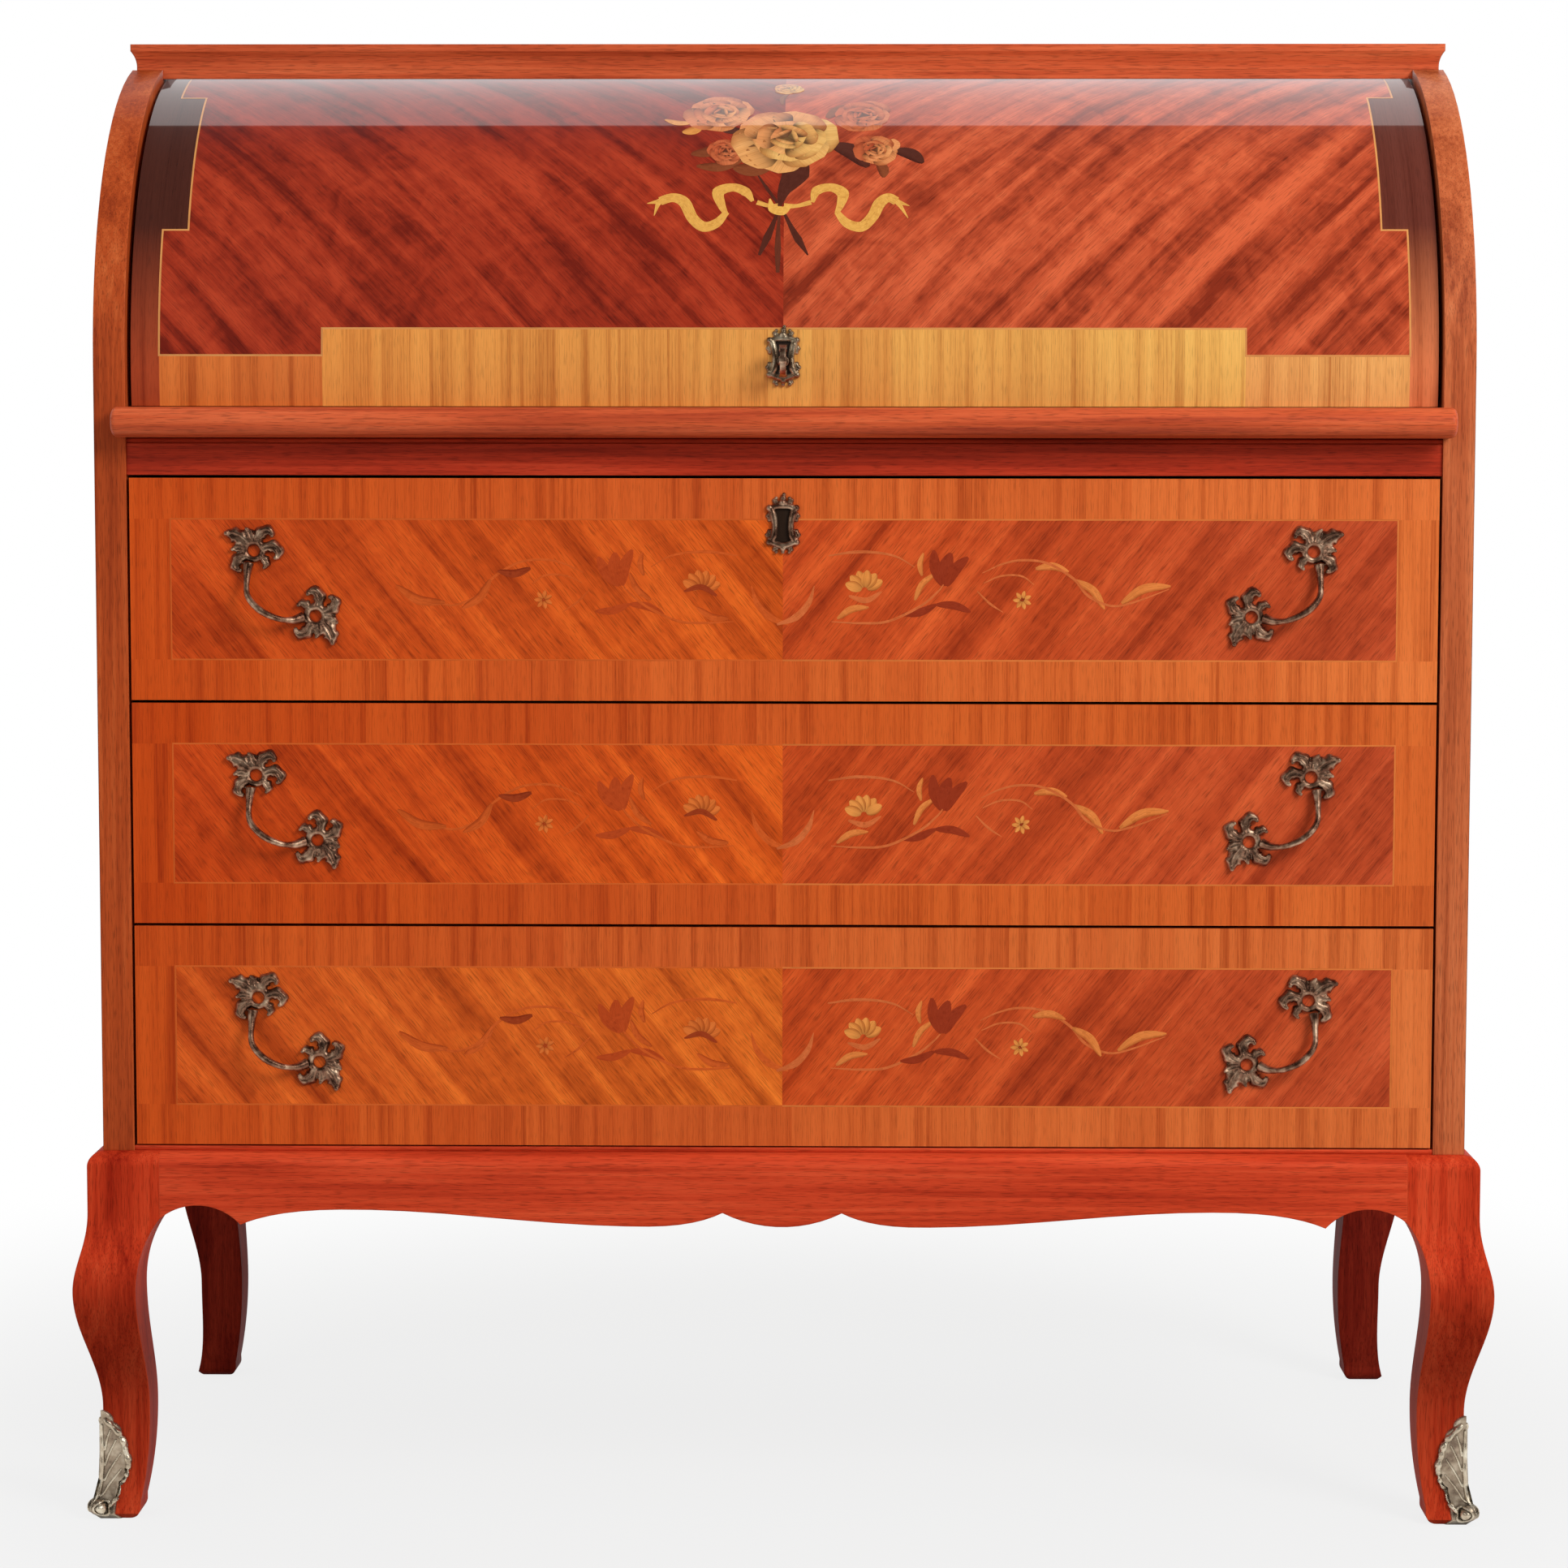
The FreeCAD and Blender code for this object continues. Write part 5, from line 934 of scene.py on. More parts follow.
# %% [markdown]
# ## Writing surface
# A writing slide is lined with thin leather, all but flush and edged with a tooled gold line. It is a guess,
# because the closed cylinder hides it. Leather is a fine pebble: cells from a Voronoi texture, smaller creases
# from noise, and a polish that varies with the same pattern.

# %% Leather on the writing slide
LEATHER_DARK = (0.045, 0.014, 0.008)
LEATHER_LIGHT = (0.16, 0.050, 0.024)
LEATHER_MARGIN = 42.0
LEATHER_DEEP = 330.0
TOOLED_GOLD = (0.95, 0.52, 0.14)
TOOLED_LINES = ((9, 1.6), (14, 0.7))


def leather():
    """Worn brown leather with a pebbled grain."""
    material, tree, shader = new_finish("desk_leather")
    place = add_node(tree, "ShaderNodeTexCoord").outputs["Object"]
    pebble = add_node(tree, "ShaderNodeTexVoronoi", {"Vector": place, "Scale": 620.0}).outputs["Distance"]
    crease = add_node(tree, "ShaderNodeTexNoise", {"Vector": place, "Scale": 240.0, "Detail": 5.0}).outputs[0]
    wear = add_node(tree, "ShaderNodeTexNoise", {"Vector": place, "Scale": 9.0, "Detail": 4.0}).outputs[0]
    mixed = maths(tree, "MULTIPLY_ADD", pebble, -0.35, maths(tree, "MULTIPLY_ADD", crease, 0.5, wear))
    colour = ramp(tree, mixed, (0.35, LEATHER_DARK), (0.9, LEATHER_LIGHT))
    bump = add_node(tree, "ShaderNodeBump", {"Strength": 0.5, "Distance": 0.2 * MM, "Height": pebble})
    gloss = add_node(tree, "ShaderNodeMapRange", {"Value": mixed, "To Min": 0.62, "To Max": 0.38})
    connect(tree, shader, colour, gloss.outputs["Result"], bump)
    return material


board_low, board_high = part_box("writing_board")


def on_slide(across, deep, height):
    """A place on the writing slide: metres from its middle, back from its front edge, and up."""
    return Vector((across, board_low.y + deep, board_high.z + height))


half = board_high.x / MM - LEATHER_MARGIN
sheet = new_sheet()
lay_polygon(sheet, [(-half, LEATHER_MARGIN), (half, LEATHER_MARGIN), (half, LEATHER_DEEP), (-half, LEATHER_DEEP)],
            0, WHITE[:3], FIELD_HEIGHT)
finish_sheet(sheet, "slide_leather", on_slide, "writing_slide", leather())
sheet = new_sheet()
for inset, width in TOOLED_LINES:
    inner, near, far = half - inset, LEATHER_MARGIN + inset, LEATHER_DEEP - inset
    lay_string(sheet, [(0, near), (inner, near), (inner, far), (-inner, far), (-inner, near), (0, near)], width,
               TOOLED_GOLD)
finish_sheet(sheet, "slide_tooling", on_slide, "writing_slide", inlay_veneer)

# %% [markdown]
# ## Dovetails
# A long drawer is held at its front by lapped dovetails: the side's tails run into the end of the front and
# show only when the drawer is open. Each tail is a small wedge of oak laid on the end of the front.

# %% Dovetails on the ends of the drawer fronts
TAIL_LENGTH = 14.0
TAIL_HALF = (6.0, 9.0)
TAIL_STEP = 27.0
LOWEST_TAIL = 23.0
TAIL_COUNT = 5
OAK_STAIN = (0.55, 0.34, 0.17)


def on_end(number, side):
    """A surface for one end of a drawer front: metres forward from its back, up from its foot, and out."""
    low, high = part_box(f"drawer_{number}_front")
    face = high.x if side > 0 else low.x
    return lambda forward, up, height: Vector((face + side * height, high.y - forward, low.z + up))


for number in LONG_DRAWERS:
    for hand, side in (("left", -1), ("right", 1)):
        sheet = new_sheet()
        for tail in range(TAIL_COUNT):
            up = LOWEST_TAIL + TAIL_STEP * tail
            lay_polygon(sheet, [(0, up - TAIL_HALF[0]), (TAIL_LENGTH, up - TAIL_HALF[1]),
                                (TAIL_LENGTH, up + TAIL_HALF[1]), (0, up + TAIL_HALF[0])], 0, OAK_STAIN, FIELD_HEIGHT)
        finish_sheet(sheet, f"drawer_{number}_tails_{hand}", on_end(number, side), f"drawer_{number}", band_veneer)

# %% [markdown]
# ## Inlaid bouquet and ribbon
# Roses tied with a ribbon are the oldest subject of furniture marquetry. A rose is rings of broad petals,
# each ring laid on the last, with the woods drawn at random from a few shades, so it is built by a short
# function. Leaves, stems and ribbon are bands along curves. All sit a hair above the field.

# %% Flower helpers
PETAL_RISE = 0.008 * MM
BROAD_PETAL = (0.10, 0.35, 0.62, 0.85, 1.0, 1.0, 0.86, 0.45)
ROSE_RINGS = ((1.0, 6), (0.78, 5), (0.56, 5), (0.36, 4), (0.20, 3))
ROSE_LIGHT = -0.7
ROSE_WOBBLE = 0.22
ROSE_REACH = (0.84, 1.12)
ROSE_SCORCH = 1.9
ROSE_LEVELS = 3
PETAL_OVERLAP = 2.3
LEAF_LEVELS = 14
YELLOW = (1.0, 0.56, 0.12)
CREAM = (1.0, 0.60, 0.19)
AMBER = (0.92, 0.38, 0.085)
PEACH = (0.95, 0.38, 0.14)
PINK = (0.78, 0.22, 0.085)
CORAL = (0.68, 0.14, 0.048)
DARK_LEAF = (0.115, 0.024, 0.013)
BROWN_LEAF = (0.30, 0.072, 0.022)
STEM_BROWN = (0.17, 0.036, 0.016)
inlay_level = [0]


def next_height():
    """Each new shape lies a hair above the one before, so that none fight for one place."""
    inlay_level[0] = inlay_level[0] % LEAF_LEVELS + 1
    return STRING_HEIGHT + inlay_level[0] * PETAL_RISE


def lay_inlay(sheet, spine, widths, stain):
    """A plain stem or ribbon over what is laid already."""
    lay_band(sheet, spine, widths, stain, next_height(), scorch=0.0)


def swelling(width):
    """Widths of a leaf or petal from root to tip."""
    return [width * math.sin(math.pi * min(0.985, 0.03 + 0.97 * step / 10)) ** 0.5 for step in range(11)]


def petal(sheet, root, tip, width, stain, bend=0.0, *, scorch):
    """One petal or leaf from root to tip; bend moves its middle sideways."""
    root, tip = Vector(root), Vector(tip)
    side = Vector((root.y - tip.y, tip.x - root.x)) * bend
    lay_band(sheet, [root, (root + tip) / 2 + side, tip], swelling(width), stain, next_height(), scorch)


def rose(sheet, centre, size, shadow, light, turn, layer):
    """An open rose: rings of broad petals laid over the roots of the last, lighter towards the lower right."""
    centre = Vector(centre)
    for ring, (reach, count) in enumerate(ROSE_RINGS):
        for number in range(count):
            angle = math.tau * (number + 0.5 * ring) / count + turn + random.uniform(-ROSE_WOBBLE, ROSE_WOBBLE)
            along = aimed(angle)
            far = size * reach * random.uniform(*ROSE_REACH)
            width = PETAL_OVERLAP * far * math.sin(math.pi / count)
            over = 2 if number == count - 1 else number % 2
            level = LEAF_LEVELS + 1 + ROSE_LEVELS * (ring + len(ROSE_RINGS) * layer) + over
            stain = blend(shadow, light, 0.5 + 0.5 * math.cos(angle - ROSE_LIGHT) + random.uniform(-0.2, 0.2))
            lay_band(sheet, [centre + along * far * share for share in (0.05, 0.5, 1.0)],
                     [share * width for share in BROAD_PETAL], [max(0.01, part) for part in stain],
                     STRING_HEIGHT + level * PETAL_RISE, ROSE_SCORCH)


def daisy(sheet, centre, size, stain, count=7, start=0.0, sweep=math.tau):
    """A small flower, whole or half, as a fan of narrow petals."""
    centre = Vector(centre)
    for number in range(count):
        angle = start + sweep * (number + 0.5) / count
        along = aimed(angle)
        petal(sheet, centre + along * size * 0.15, centre + along * size, size * 2.2 / count ** 0.8, stain,
              scorch=0.7)


print("flower helpers ready")

# %% Bouquet on the cylinder
sheet = new_sheet()
for spine, widths, stain in (
        ([(-3, 145), (-9, 127), (-17, 107)], [1.5, 3.0, 5.5, 2.0], DARK_LEAF),
        ([(-3, 145), (-4, 121), (-4, 94)], [1.5, 2.5, 4.5, 2.5], STEM_BROWN),
        ([(-2, 145), (7, 125), (17, 107)], [1.5, 3.0, 5.5, 1.0], DARK_LEAF),
        ([(-20, 176), (-12, 161), (-3, 146)], [1.0, 2.5, 2.0], DARK_LEAF),
        ([(12, 194), (8, 175), (0, 159), (-3, 146)], [10.0, 20.0, 9.0, 2.5], DARK_LEAF)):
    lay_inlay(sheet, spine, widths, stain)
for root, tip, width, stain in (
        ((34, 204), (59, 181), 15, DARK_LEAF), ((78, 198), (98, 185), 11, DARK_LEAF),
        ((66, 186), (70, 171), 8, BROWN_LEAF), ((-30, 219), (-48, 228), 9, DARK_LEAF),
        ((-44, 204), (-66, 194), 10, BROWN_LEAF), ((-60, 225), (-73, 218), 9, AMBER),
        ((-66, 230), (-86, 234), 6, AMBER), ((76, 210), (80, 199), 5, PEACH), ((-8, 184), (-36, 180), 13, BROWN_LEAF),
        ((-30, 188), (-62, 182), 9, BROWN_LEAF), ((30, 236), (54, 256), 10, BROWN_LEAF),
        ((-2, 256), (3, 277), 4, BROWN_LEAF)):
    petal(sheet, root, tip, width, stain, 0.12, scorch=0.3)
for centre, size, shadow, light, turn, layer in (
        ((-46, 244), 25, PINK, PEACH, 0.3, 0), ((56, 240), 20, CORAL, PINK, 0.8, 0),
        ((64, 198), 15, CORAL, PEACH, 0.1, 0), ((-42, 197), 13, CORAL, PINK, 0.5, 0),
        ((2, 287), 11, PEACH, YELLOW, 0.2, 0), ((2, 212), 36, PEACH, CREAM, 0.3, 1)):
    rose(sheet, centre, size, shadow, light, turn, layer)
finish_sheet(sheet, "cylinder_bouquet", on_cylinder, "cylinder", cylinder_inlay, STRIP)

# %% Ribbon on the cylinder
RIBBON = (0.94, 0.50, 0.11)
sheet = new_sheet()
for side, strand, loop, tail, ends in (
        (-1, [(3, 146), (10, 146), (19, 149)],
         [(22, 150), (27, 158), (36, 162), (46, 158), (44, 147), (40, 138)],
         [(40, 141), (47, 132), (56, 129), (64, 136), (70, 149), (78, 153), (87, 150)],
         [(96, 148), (91, 138)]),
        (1, [(0, 146), (9, 146), (19, 149)],
         [(20, 149), (23, 159), (33, 162), (41, 157), (40, 148), (37, 140)],
         [(37, 141), (44, 132), (54, 129), (62, 137), (67, 148), (73, 153), (79, 150)],
         [(88, 146), (87, 136)])):
    forks = [([*tail[-2:], end], [3.0, 4.5, 0.5]) for end in ends]
    for spine, widths in ((strand, [4.5, 3.0, 4.0]), (loop, [2.5, 7.5, 7.0, 9.0, 6.0, 3.0]),
                          (tail, [4.0, 7.0, 8.0, 8.0, 8.5, 7.5, 7.0]), *forks):
        lay_inlay(sheet, flipped(spine, side), widths, RIBBON)
lay_inlay(sheet, [(-10, 152), (-8, 144), (-1, 142), (5, 147)], [1.0, 6.5, 7.5, 2.0], YELLOW)
finish_sheet(sheet, "cylinder_ribbon", on_cylinder, "cylinder", cylinder_inlay, STRIP)

# %% [markdown]
# ## Scrolling flowers on the drawers
# Each drawer has one scroll, drawn once for the right half in millimetres from the middle of the field
# and mirrored on the left. The left half is cut from woods close to the field, so it shows less.

# %% Scrolls on the drawers
TENDRIL = (0.74, 0.175, 0.050)
LEAF_ORANGE = (0.86, 0.27, 0.065)
FAINT = (0.72, 0.125, 0.020)
FAINT_DARK = (0.40, 0.055, 0.012)
TULIP = {-1: (0.56, 0.076, 0.013), 1: (0.36, 0.042, 0.012)}
SMALL_FLOWER = {-1: (0.84, 0.21, 0.040), 1: (0.92, 0.36, 0.085)}
TENDRILS = (
    ([(-4, -24), (9, -19), (18, -9), (22, 3)], [1.5, 5.0, 4.0, 0.6]),
    ([(32, 24), (50, 26.5), (67, 26), (80, 23), (92, 16)], [1.0, 2.2, 1.8, 1.4, 0.5]),
    ([(34, -22), (55, -23), (74, -21.5), (96, -11), (108, -1), (112, 4)], [0.6, 1.6, 1.8, 1.8, 1.3, 0.8]),
    ([(139, 12), (152, 18), (166, 21), (184, 19), (202, 8.5), (213, -4), (229, -10.7), (245, -8), (269, 1)],
     [0.5, 1.3, 1.7, 1.7, 1.9, 1.9, 1.6, 1.4, 0.6]),
    ([(135.5, -0.6), (144, -9), (153.5, -15.3)], [0.8, 1.8, 0.5]),
    ([(140, 5), (152, 10), (166, 10), (175, 4)], [0.6, 1.4, 1.4, 0.6]))
SCROLL_LEAVES = (((38, -20), (60, -12), 5.0), ((92, -7), (107, 12), 4.5), ((97, 10), (98, 26), 4.0),
                 ((176, 15), (199, 13), 5.5), ((204, 7), (224, -13), 6.0), ((236, -9), (270, 3), 6.5))
LEFT_DARK_LEAF = 3
HALF_FLOWER = (57, 0)
STAR_FLOWER = (167, -6.8)
TULIP_PETALS = (((112, 3), (105, 28), 8.0), ((113, 3), (117, 26), 10.0), ((114, 3), (129, 23), 8.0),
                ((107, -10), (83, -17), 5.5), ((107, -10), (131, -15), 5.5))
front_low, front_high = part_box("drawer_1_front")
mid_height = (front_high.z - front_low.z) / 2 / MM

for number in LONG_DRAWERS:
    sheet = new_sheet()
    for side, tendril, leaf in ((-1, FAINT, FAINT), (1, TENDRIL, LEAF_ORANGE)):
        flower = SMALL_FLOWER[side]

        def placed(points):
            """Scroll millimetres on this half of the drawer front."""
            return [(side * across, mid_height + up) for across, up in points]

        for spine, widths in TENDRILS:
            lay_inlay(sheet, placed(spine), widths, tendril)
        for number_of_leaf, (root, tip, width) in enumerate(SCROLL_LEAVES):
            dark = side < 0 and number_of_leaf == LEFT_DARK_LEAF
            petal(sheet, *placed([root, tip]), width, FAINT_DARK if dark else leaf, 0.12, scorch=0.5)
        for root, tip, width in TULIP_PETALS:
            petal(sheet, *placed([root, tip]), width, TULIP[side], 0.08, scorch=0.0)
        daisy(sheet, *placed([HALF_FLOWER]), 14, flower, 6, 0.25 if side > 0 else 0.1, math.pi - 0.35)
        petal(sheet, *placed([(46, -4), (69, -1)]), 4, FAINT_DARK if side < 0 else TENDRIL, -0.2, scorch=0.0)
        daisy(sheet, *placed([STAR_FLOWER]), 6.5, flower)
        daisy(sheet, *placed([STAR_FLOWER]), 2.0, TULIP[side], 5)
    body = f"drawer_{number}"
    finish_sheet(sheet, body + "_scroll", on_front(body + "_front"), body, inlay_veneer)

# %% [markdown]
# ## Cast handles
# Each handle is one casting: a curved bail between two pierced ends of curled acanthus leaves. A founder
# would carve a pattern in wax, so this does the same: leaves, a ring and a bail are laid down as separate
# closed shapes, and a voxel Remesh melts them into one skin, which is then smoothed and thinned out.
# A leaf follows a path that curls ever tighter towards its tip, and its section has two ridges and a vein.

# %% Wax shapes for the castings
LEAF_SECTION = ((-1.0, 0.0), (-0.92, 0.42), (-0.58, 0.92), (-0.22, 1.0), (0.0, 0.62), (0.22, 1.0), (0.58, 0.92),
                (0.92, 0.42), (1.0, 0.0), (0.0, -0.25))
FACE_SINK = 0.6
LEAF_STEPS = 14
RING_STEPS = 28


def close_tube(wax, rings):
    """Skin a row of rings of points and cap both ends."""
    loops = [[wax.verts.new(point * MM) for point in ring] for ring in rings]
    for near, far in zip(loops, loops[1:]):
        for number in range(len(near)):
            after = (number + 1) % len(near)
            wax.faces.new((near[number], near[after], far[after], far[number]))
    wax.faces.new(loops[0][::-1])
    wax.faces.new(loops[-1])


def bead(wax, place, radius, flat=1.0):
    """A ball, or a flattened one, at a place in millimetres."""
    bmesh.ops.create_icosphere(wax, subdivisions=2, radius=radius * MM,
                               matrix=Matrix.Translation(Vector(place) * MM) @ Matrix.Diagonal((1, 1, flat, 1)))


def curl_path(root, heading, length, curl):
    """A flat path that leaves in a heading and curls tighter towards its tip; angles in degrees."""
    spot = Vector(root)
    path = []
    for step in range(LEAF_STEPS + 1):
        share = step / LEAF_STEPS
        angle = math.radians(heading + curl * share ** 1.7)
        path.append((spot.copy(), aimed(angle)))
        spot = spot + path[-1][1] * length / LEAF_STEPS
    return path


def acanthus(wax, root, heading, length, curl, width, height, lift=1.6):
    """A leaf with a vein and scalloped sides that curls and rises at its tip, where it ends in a bead."""
    rings = []
    path = curl_path(root, heading, length, curl)
    for number, (spot, ahead) in enumerate(path):
        share = number / (len(path) - 1)
        swell = math.sin(math.pi * (0.16 + 0.74 * share)) ** 0.8 * (1.0 + 0.16 * math.sin(share * 20))
        half = max(0.7, 0.5 * width * swell)
        tall = height * (1.0 - 0.45 * share)
        base = lift * share ** 1.5 - FACE_SINK
        side = Vector((-ahead.y, ahead.x))
        rings.append([Vector((*(spot + side * half * across), base + tall * up)) for across, up in LEAF_SECTION])
    close_tube(wax, rings)
    bead(wax, (*path[-1][0], lift + 0.3 * height), max(1.3, 0.16 * width))


def round_bar(wax, path, radii, sides=10):
    """A bar of changing thickness along a line in space."""
    rings = []
    for number, spot in enumerate(path):
        ahead = (path[min(number + 1, len(path) - 1)] - path[max(number - 1, 0)]).normalized()
        out = Vector((0, 0, 1))
        side = ahead.cross(out).normalized()
        out = side.cross(ahead)
        radius = spread(radii, number / (len(path) - 1))
        turns = [math.tau * step / sides for step in range(sides)]
        rings.append([spot + radius * (side * math.cos(turn) + out * math.sin(turn)) for turn in turns])
    close_tube(wax, rings)


def eyelet(wax, centre, radius, thick):
    """A pierced ring, such as the middle of each leafy end; its two ends overlap a little."""
    turns = [math.tau * step / RING_STEPS for step in range(RING_STEPS + 2)]
    points = [Vector((centre[0] + radius * math.cos(turn), centre[1] + radius * math.sin(turn), thick * 0.6))
              for turn in turns]
    round_bar(wax, points, [thick, thick * 1.15, thick, thick * 0.9, thick], 8)


def cast(wax, voxel, thin):
    """Melt the wax shapes into one skin, smooth it and thin out its faces."""
    rough = bpy.data.meshes.new("wax")
    bmesh.ops.recalc_face_normals(wax, faces=wax.faces)
    wax.to_mesh(rough)
    wax.free()
    holder = bpy.data.objects.new("wax", rough)
    bpy.context.scene.collection.objects.link(holder)
    melt = holder.modifiers.new("melt", "REMESH")
    melt.mode = "VOXEL"
    melt.voxel_size = voxel
    polish = holder.modifiers.new("polish", "SMOOTH")
    polish.factor = 0.5
    polish.iterations = 2
    holder.modifiers.new("thin", "DECIMATE").ratio = thin
    seen = holder.evaluated_get(bpy.context.evaluated_depsgraph_get())
    mesh = bpy.data.meshes.new_from_object(seen)
    bpy.data.objects.remove(holder)
    bpy.data.meshes.remove(rough)
    return mesh


print("wax shapes ready")

# %% Leafy end and bail of one handle
RING_UPPER = Vector((-369.0, 104.8))
RING_LOWER = Vector((-326.2, 59.3))
END_LEAVES = ((133, 6.0, 140, 17, 40, 12.0), (66, 6.0, 78, 17, -170, 9.5), (10, 6.0, 24, 18, -190, 9.5),
              (215, 6.5, 195, 16, 170, 9.5), (172, 6.0, 168, 9, 40, 7.0), (98, 6.0, 104, 10, 30, 7.0),
              (315, 6.0, 330, 10, -120, 7.0))
LEAF_HEIGHT = 5.0
BAIL = ((-3.5, -9), (-4.2, -17), (-3.2, -31), (5.5, -41), (17.5, -47), (27, -48.5), (34, -46.5))
BAIL_HEIGHTS = (3.0, 5.5, 12.0, 15.0, 14.0, 8.0, 3.0)
BAIL_RADII = (3.8, 3.0, 2.1, 2.3, 2.6, 2.3, 2.1, 3.0, 3.8)
END_RING = (6.3, 2.4)


def leafy_end(wax, ring, swap):
    """One end of the handle; the other end is its mirror across the diagonal."""
    for place, reach, heading, length, curl, width in END_LEAVES:
        angle = math.radians(90 - place if swap else place)
        root = ring + reach * aimed(angle)
        acanthus(wax, root, 90 - heading if swap else heading, length, -curl if swap else curl, width, LEAF_HEIGHT)
    eyelet(wax, ring, *END_RING)


def handle_mesh():
    """The left handle, cast in one."""
    wax = bmesh.new()
    leafy_end(wax, RING_UPPER, False)
    leafy_end(wax, RING_LOWER, True)
    path = smooth_line([(RING_UPPER.x + across, RING_UPPER.y + up, height)
                        for (across, up), height in zip(BAIL, BAIL_HEIGHTS)])
    round_bar(wax, path, BAIL_RADII)
    return cast(wax, 0.42 * MM, 0.30)


left_handle = handle_mesh()
print("handle", len(left_handle.polygons), "faces")

# %% Handles on the three drawers
def place_casting(name, meshes, surface, body, finish, node=None):
    """Join cast meshes on a surface as one piece, which may stand for a CAD casting."""
    joined = bmesh.new()
    for mesh, side in meshes:
        start = len(joined.verts)
        joined.from_mesh(mesh)
        joined.verts.ensure_lookup_table()
        for spot in joined.verts[start:]:
            spot.co = surface(side * spot.co.x, spot.co.y, spot.co.z)
    new_piece(joined, name, finish, body, node).shade_smooth()


for number in LONG_DRAWERS:
    place_casting(f"drawer_{number}_handle_castings", ((left_handle, 1), (left_handle, -1)),
                  on_front(f"drawer_{number}_front"), f"drawer_{number}", bronze, f"drawer_{number}_handles")

# %% [markdown]
# ## Keyhole plates
# One pattern serves both locks: two bars that bow in to a waist, with beads and small leaves at the corners
# and a finial on top. The space between the bars is a dark plate. On the cylinder the casting is bent to the
# curve by the same surface that the veneers use.

# %% Keyhole plates on the cylinder and the upper drawer
PLATE_BAR = ((8.2, 14.5), (7.0, 10.5), (5.6, 3.0), (6.4, -4.5), (8.6, -9.0))
PLATE_ARCH = ((-8.2, 14.5), (-4.5, 15.8), (0.0, 16.2), (4.5, 15.8), (8.2, 14.5))
PLATE_FOOT = ((-8.6, -9.0), (-4.5, -10.6), (0.0, -11.6), (4.5, -10.6), (8.6, -9.0))
PLATE_BEADS = ((0.0, 18.2, 2.9), (0.3, 21.6, 2.1), (0.8, 24.0, 1.4), (9.4, 14.6, 2.4), (-9.4, 14.6, 2.4),
               (9.6, -9.2, 2.4), (-9.6, -9.2, 2.4), (0.0, -13.2, 2.4), (0.0, -16.0, 1.4))
PLATE_LEAVES = ((5.4, 6.0, 25, 7.5, 100, 6.5), (5.6, -1.5, -20, 7.5, -100, 6.5), (3.0, 16.5, 35, 6.0, 110, 5.0),
                (3.0, -11.0, -40, 6.0, -100, 5.0))
PLATE_HOLLOW = ((7, -10), (5, 3), (7, 15), (-7, 15), (-5, 3), (-7, -10))
HOLLOW_HEIGHT = 0.5 * MM
DRAWER_KEYHOLE = 120.1
CYLINDER_KEYHOLE = 31.1
KEYHOLE_DARK = (0.030, 0.016, 0.010)


def keyhole_plate_mesh():
    """A pierced plate centred on its keyhole, cast in one."""
    wax = bmesh.new()
    for side in (-1, 1):
        round_bar(wax, smooth_line([(side * across, up, 1.4) for across, up in PLATE_BAR]), [2.0, 2.6, 2.2, 2.6, 2.0])
        for across, up, heading, length, curl, width in PLATE_LEAVES:
            acanthus(wax, (side * across, up), heading if side > 0 else 180 - heading, length, side * curl, width,
                     2.4, 0.8)
    for line in (PLATE_ARCH, PLATE_FOOT):
        round_bar(wax, smooth_line([(across, up, 1.2) for across, up in line]), [2.0, 2.5, 2.0])
    for across, up, radius in PLATE_BEADS:
        bead(wax, (across, up, 1.4), radius)
    return cast(wax, 0.28 * MM, 0.35)


def at_keyhole(surface, up):
    """A surface measured from a keyhole that lies some millimetres up from its foot."""
    return lambda across, above, height: surface(across, above + up * MM, height)


keyhole_plate = keyhole_plate_mesh()
for node, surface, body, up, finish, dark in (
        ("drawer_escutcheon", on_front("drawer_1_front"), "drawer_1", DRAWER_KEYHOLE, bronze, inlay_veneer),
        ("cylinder_escutcheon", on_cylinder, "cylinder", CYLINDER_KEYHOLE, pale_bronze, cylinder_inlay)):
    hollow = new_sheet()
    lay_polygon(hollow, PLATE_HOLLOW, 90, KEYHOLE_DARK, HOLLOW_HEIGHT)
    finish_sheet(hollow, node + "_hollow", at_keyhole(surface, up), body, dark, STRIP)
    place_casting(node + "_casting", ((keyhole_plate, 1),), at_keyhole(surface, up), body, finish, node)

# %% [markdown]
# ## Leaves on the sabots
# A sabot is a thin cast leaf that wraps the outer corner of the foot. The CAD solid has its outline and its
# ball. The chasing goes on top: a beaded rim, fine veins that sweep up from the corner and the eye of a scroll.
# It is cast flat, and then each point is laid on the sabot by a ray that looks for the metal, the front of the
# leg on one side of the corner and its outer side on the other.

# %% Chased leaves of the sabots
SABOT_RIM = ((13.5, 9), (15.0, 16), (17.0, 27), (18.6, 37), (16.6, 48), (12.6, 60), (2.0, 72))
RIM_LOBES = 11
SABOT_VEINS = (((2, 16), (6, 25), (14, 36)), ((2, 27), (6, 36), (13, 47)), ((2, 38), (5, 47), (10, 57)),
               ((2, 49), (3.5, 57), (6, 64)))
RIM_STEPS = 60
SCROLL_EYE = (8.0, 8.5)
EYE_RADIUS = 3.6
EYE_RING = (5.0, 0.8)
FELT_LEVELS = 80
FELT_REACH = 28
SMOOTHED_OVER = 4
CORNER_ROUND = 0.6 * MM
RAY_START = 0.05


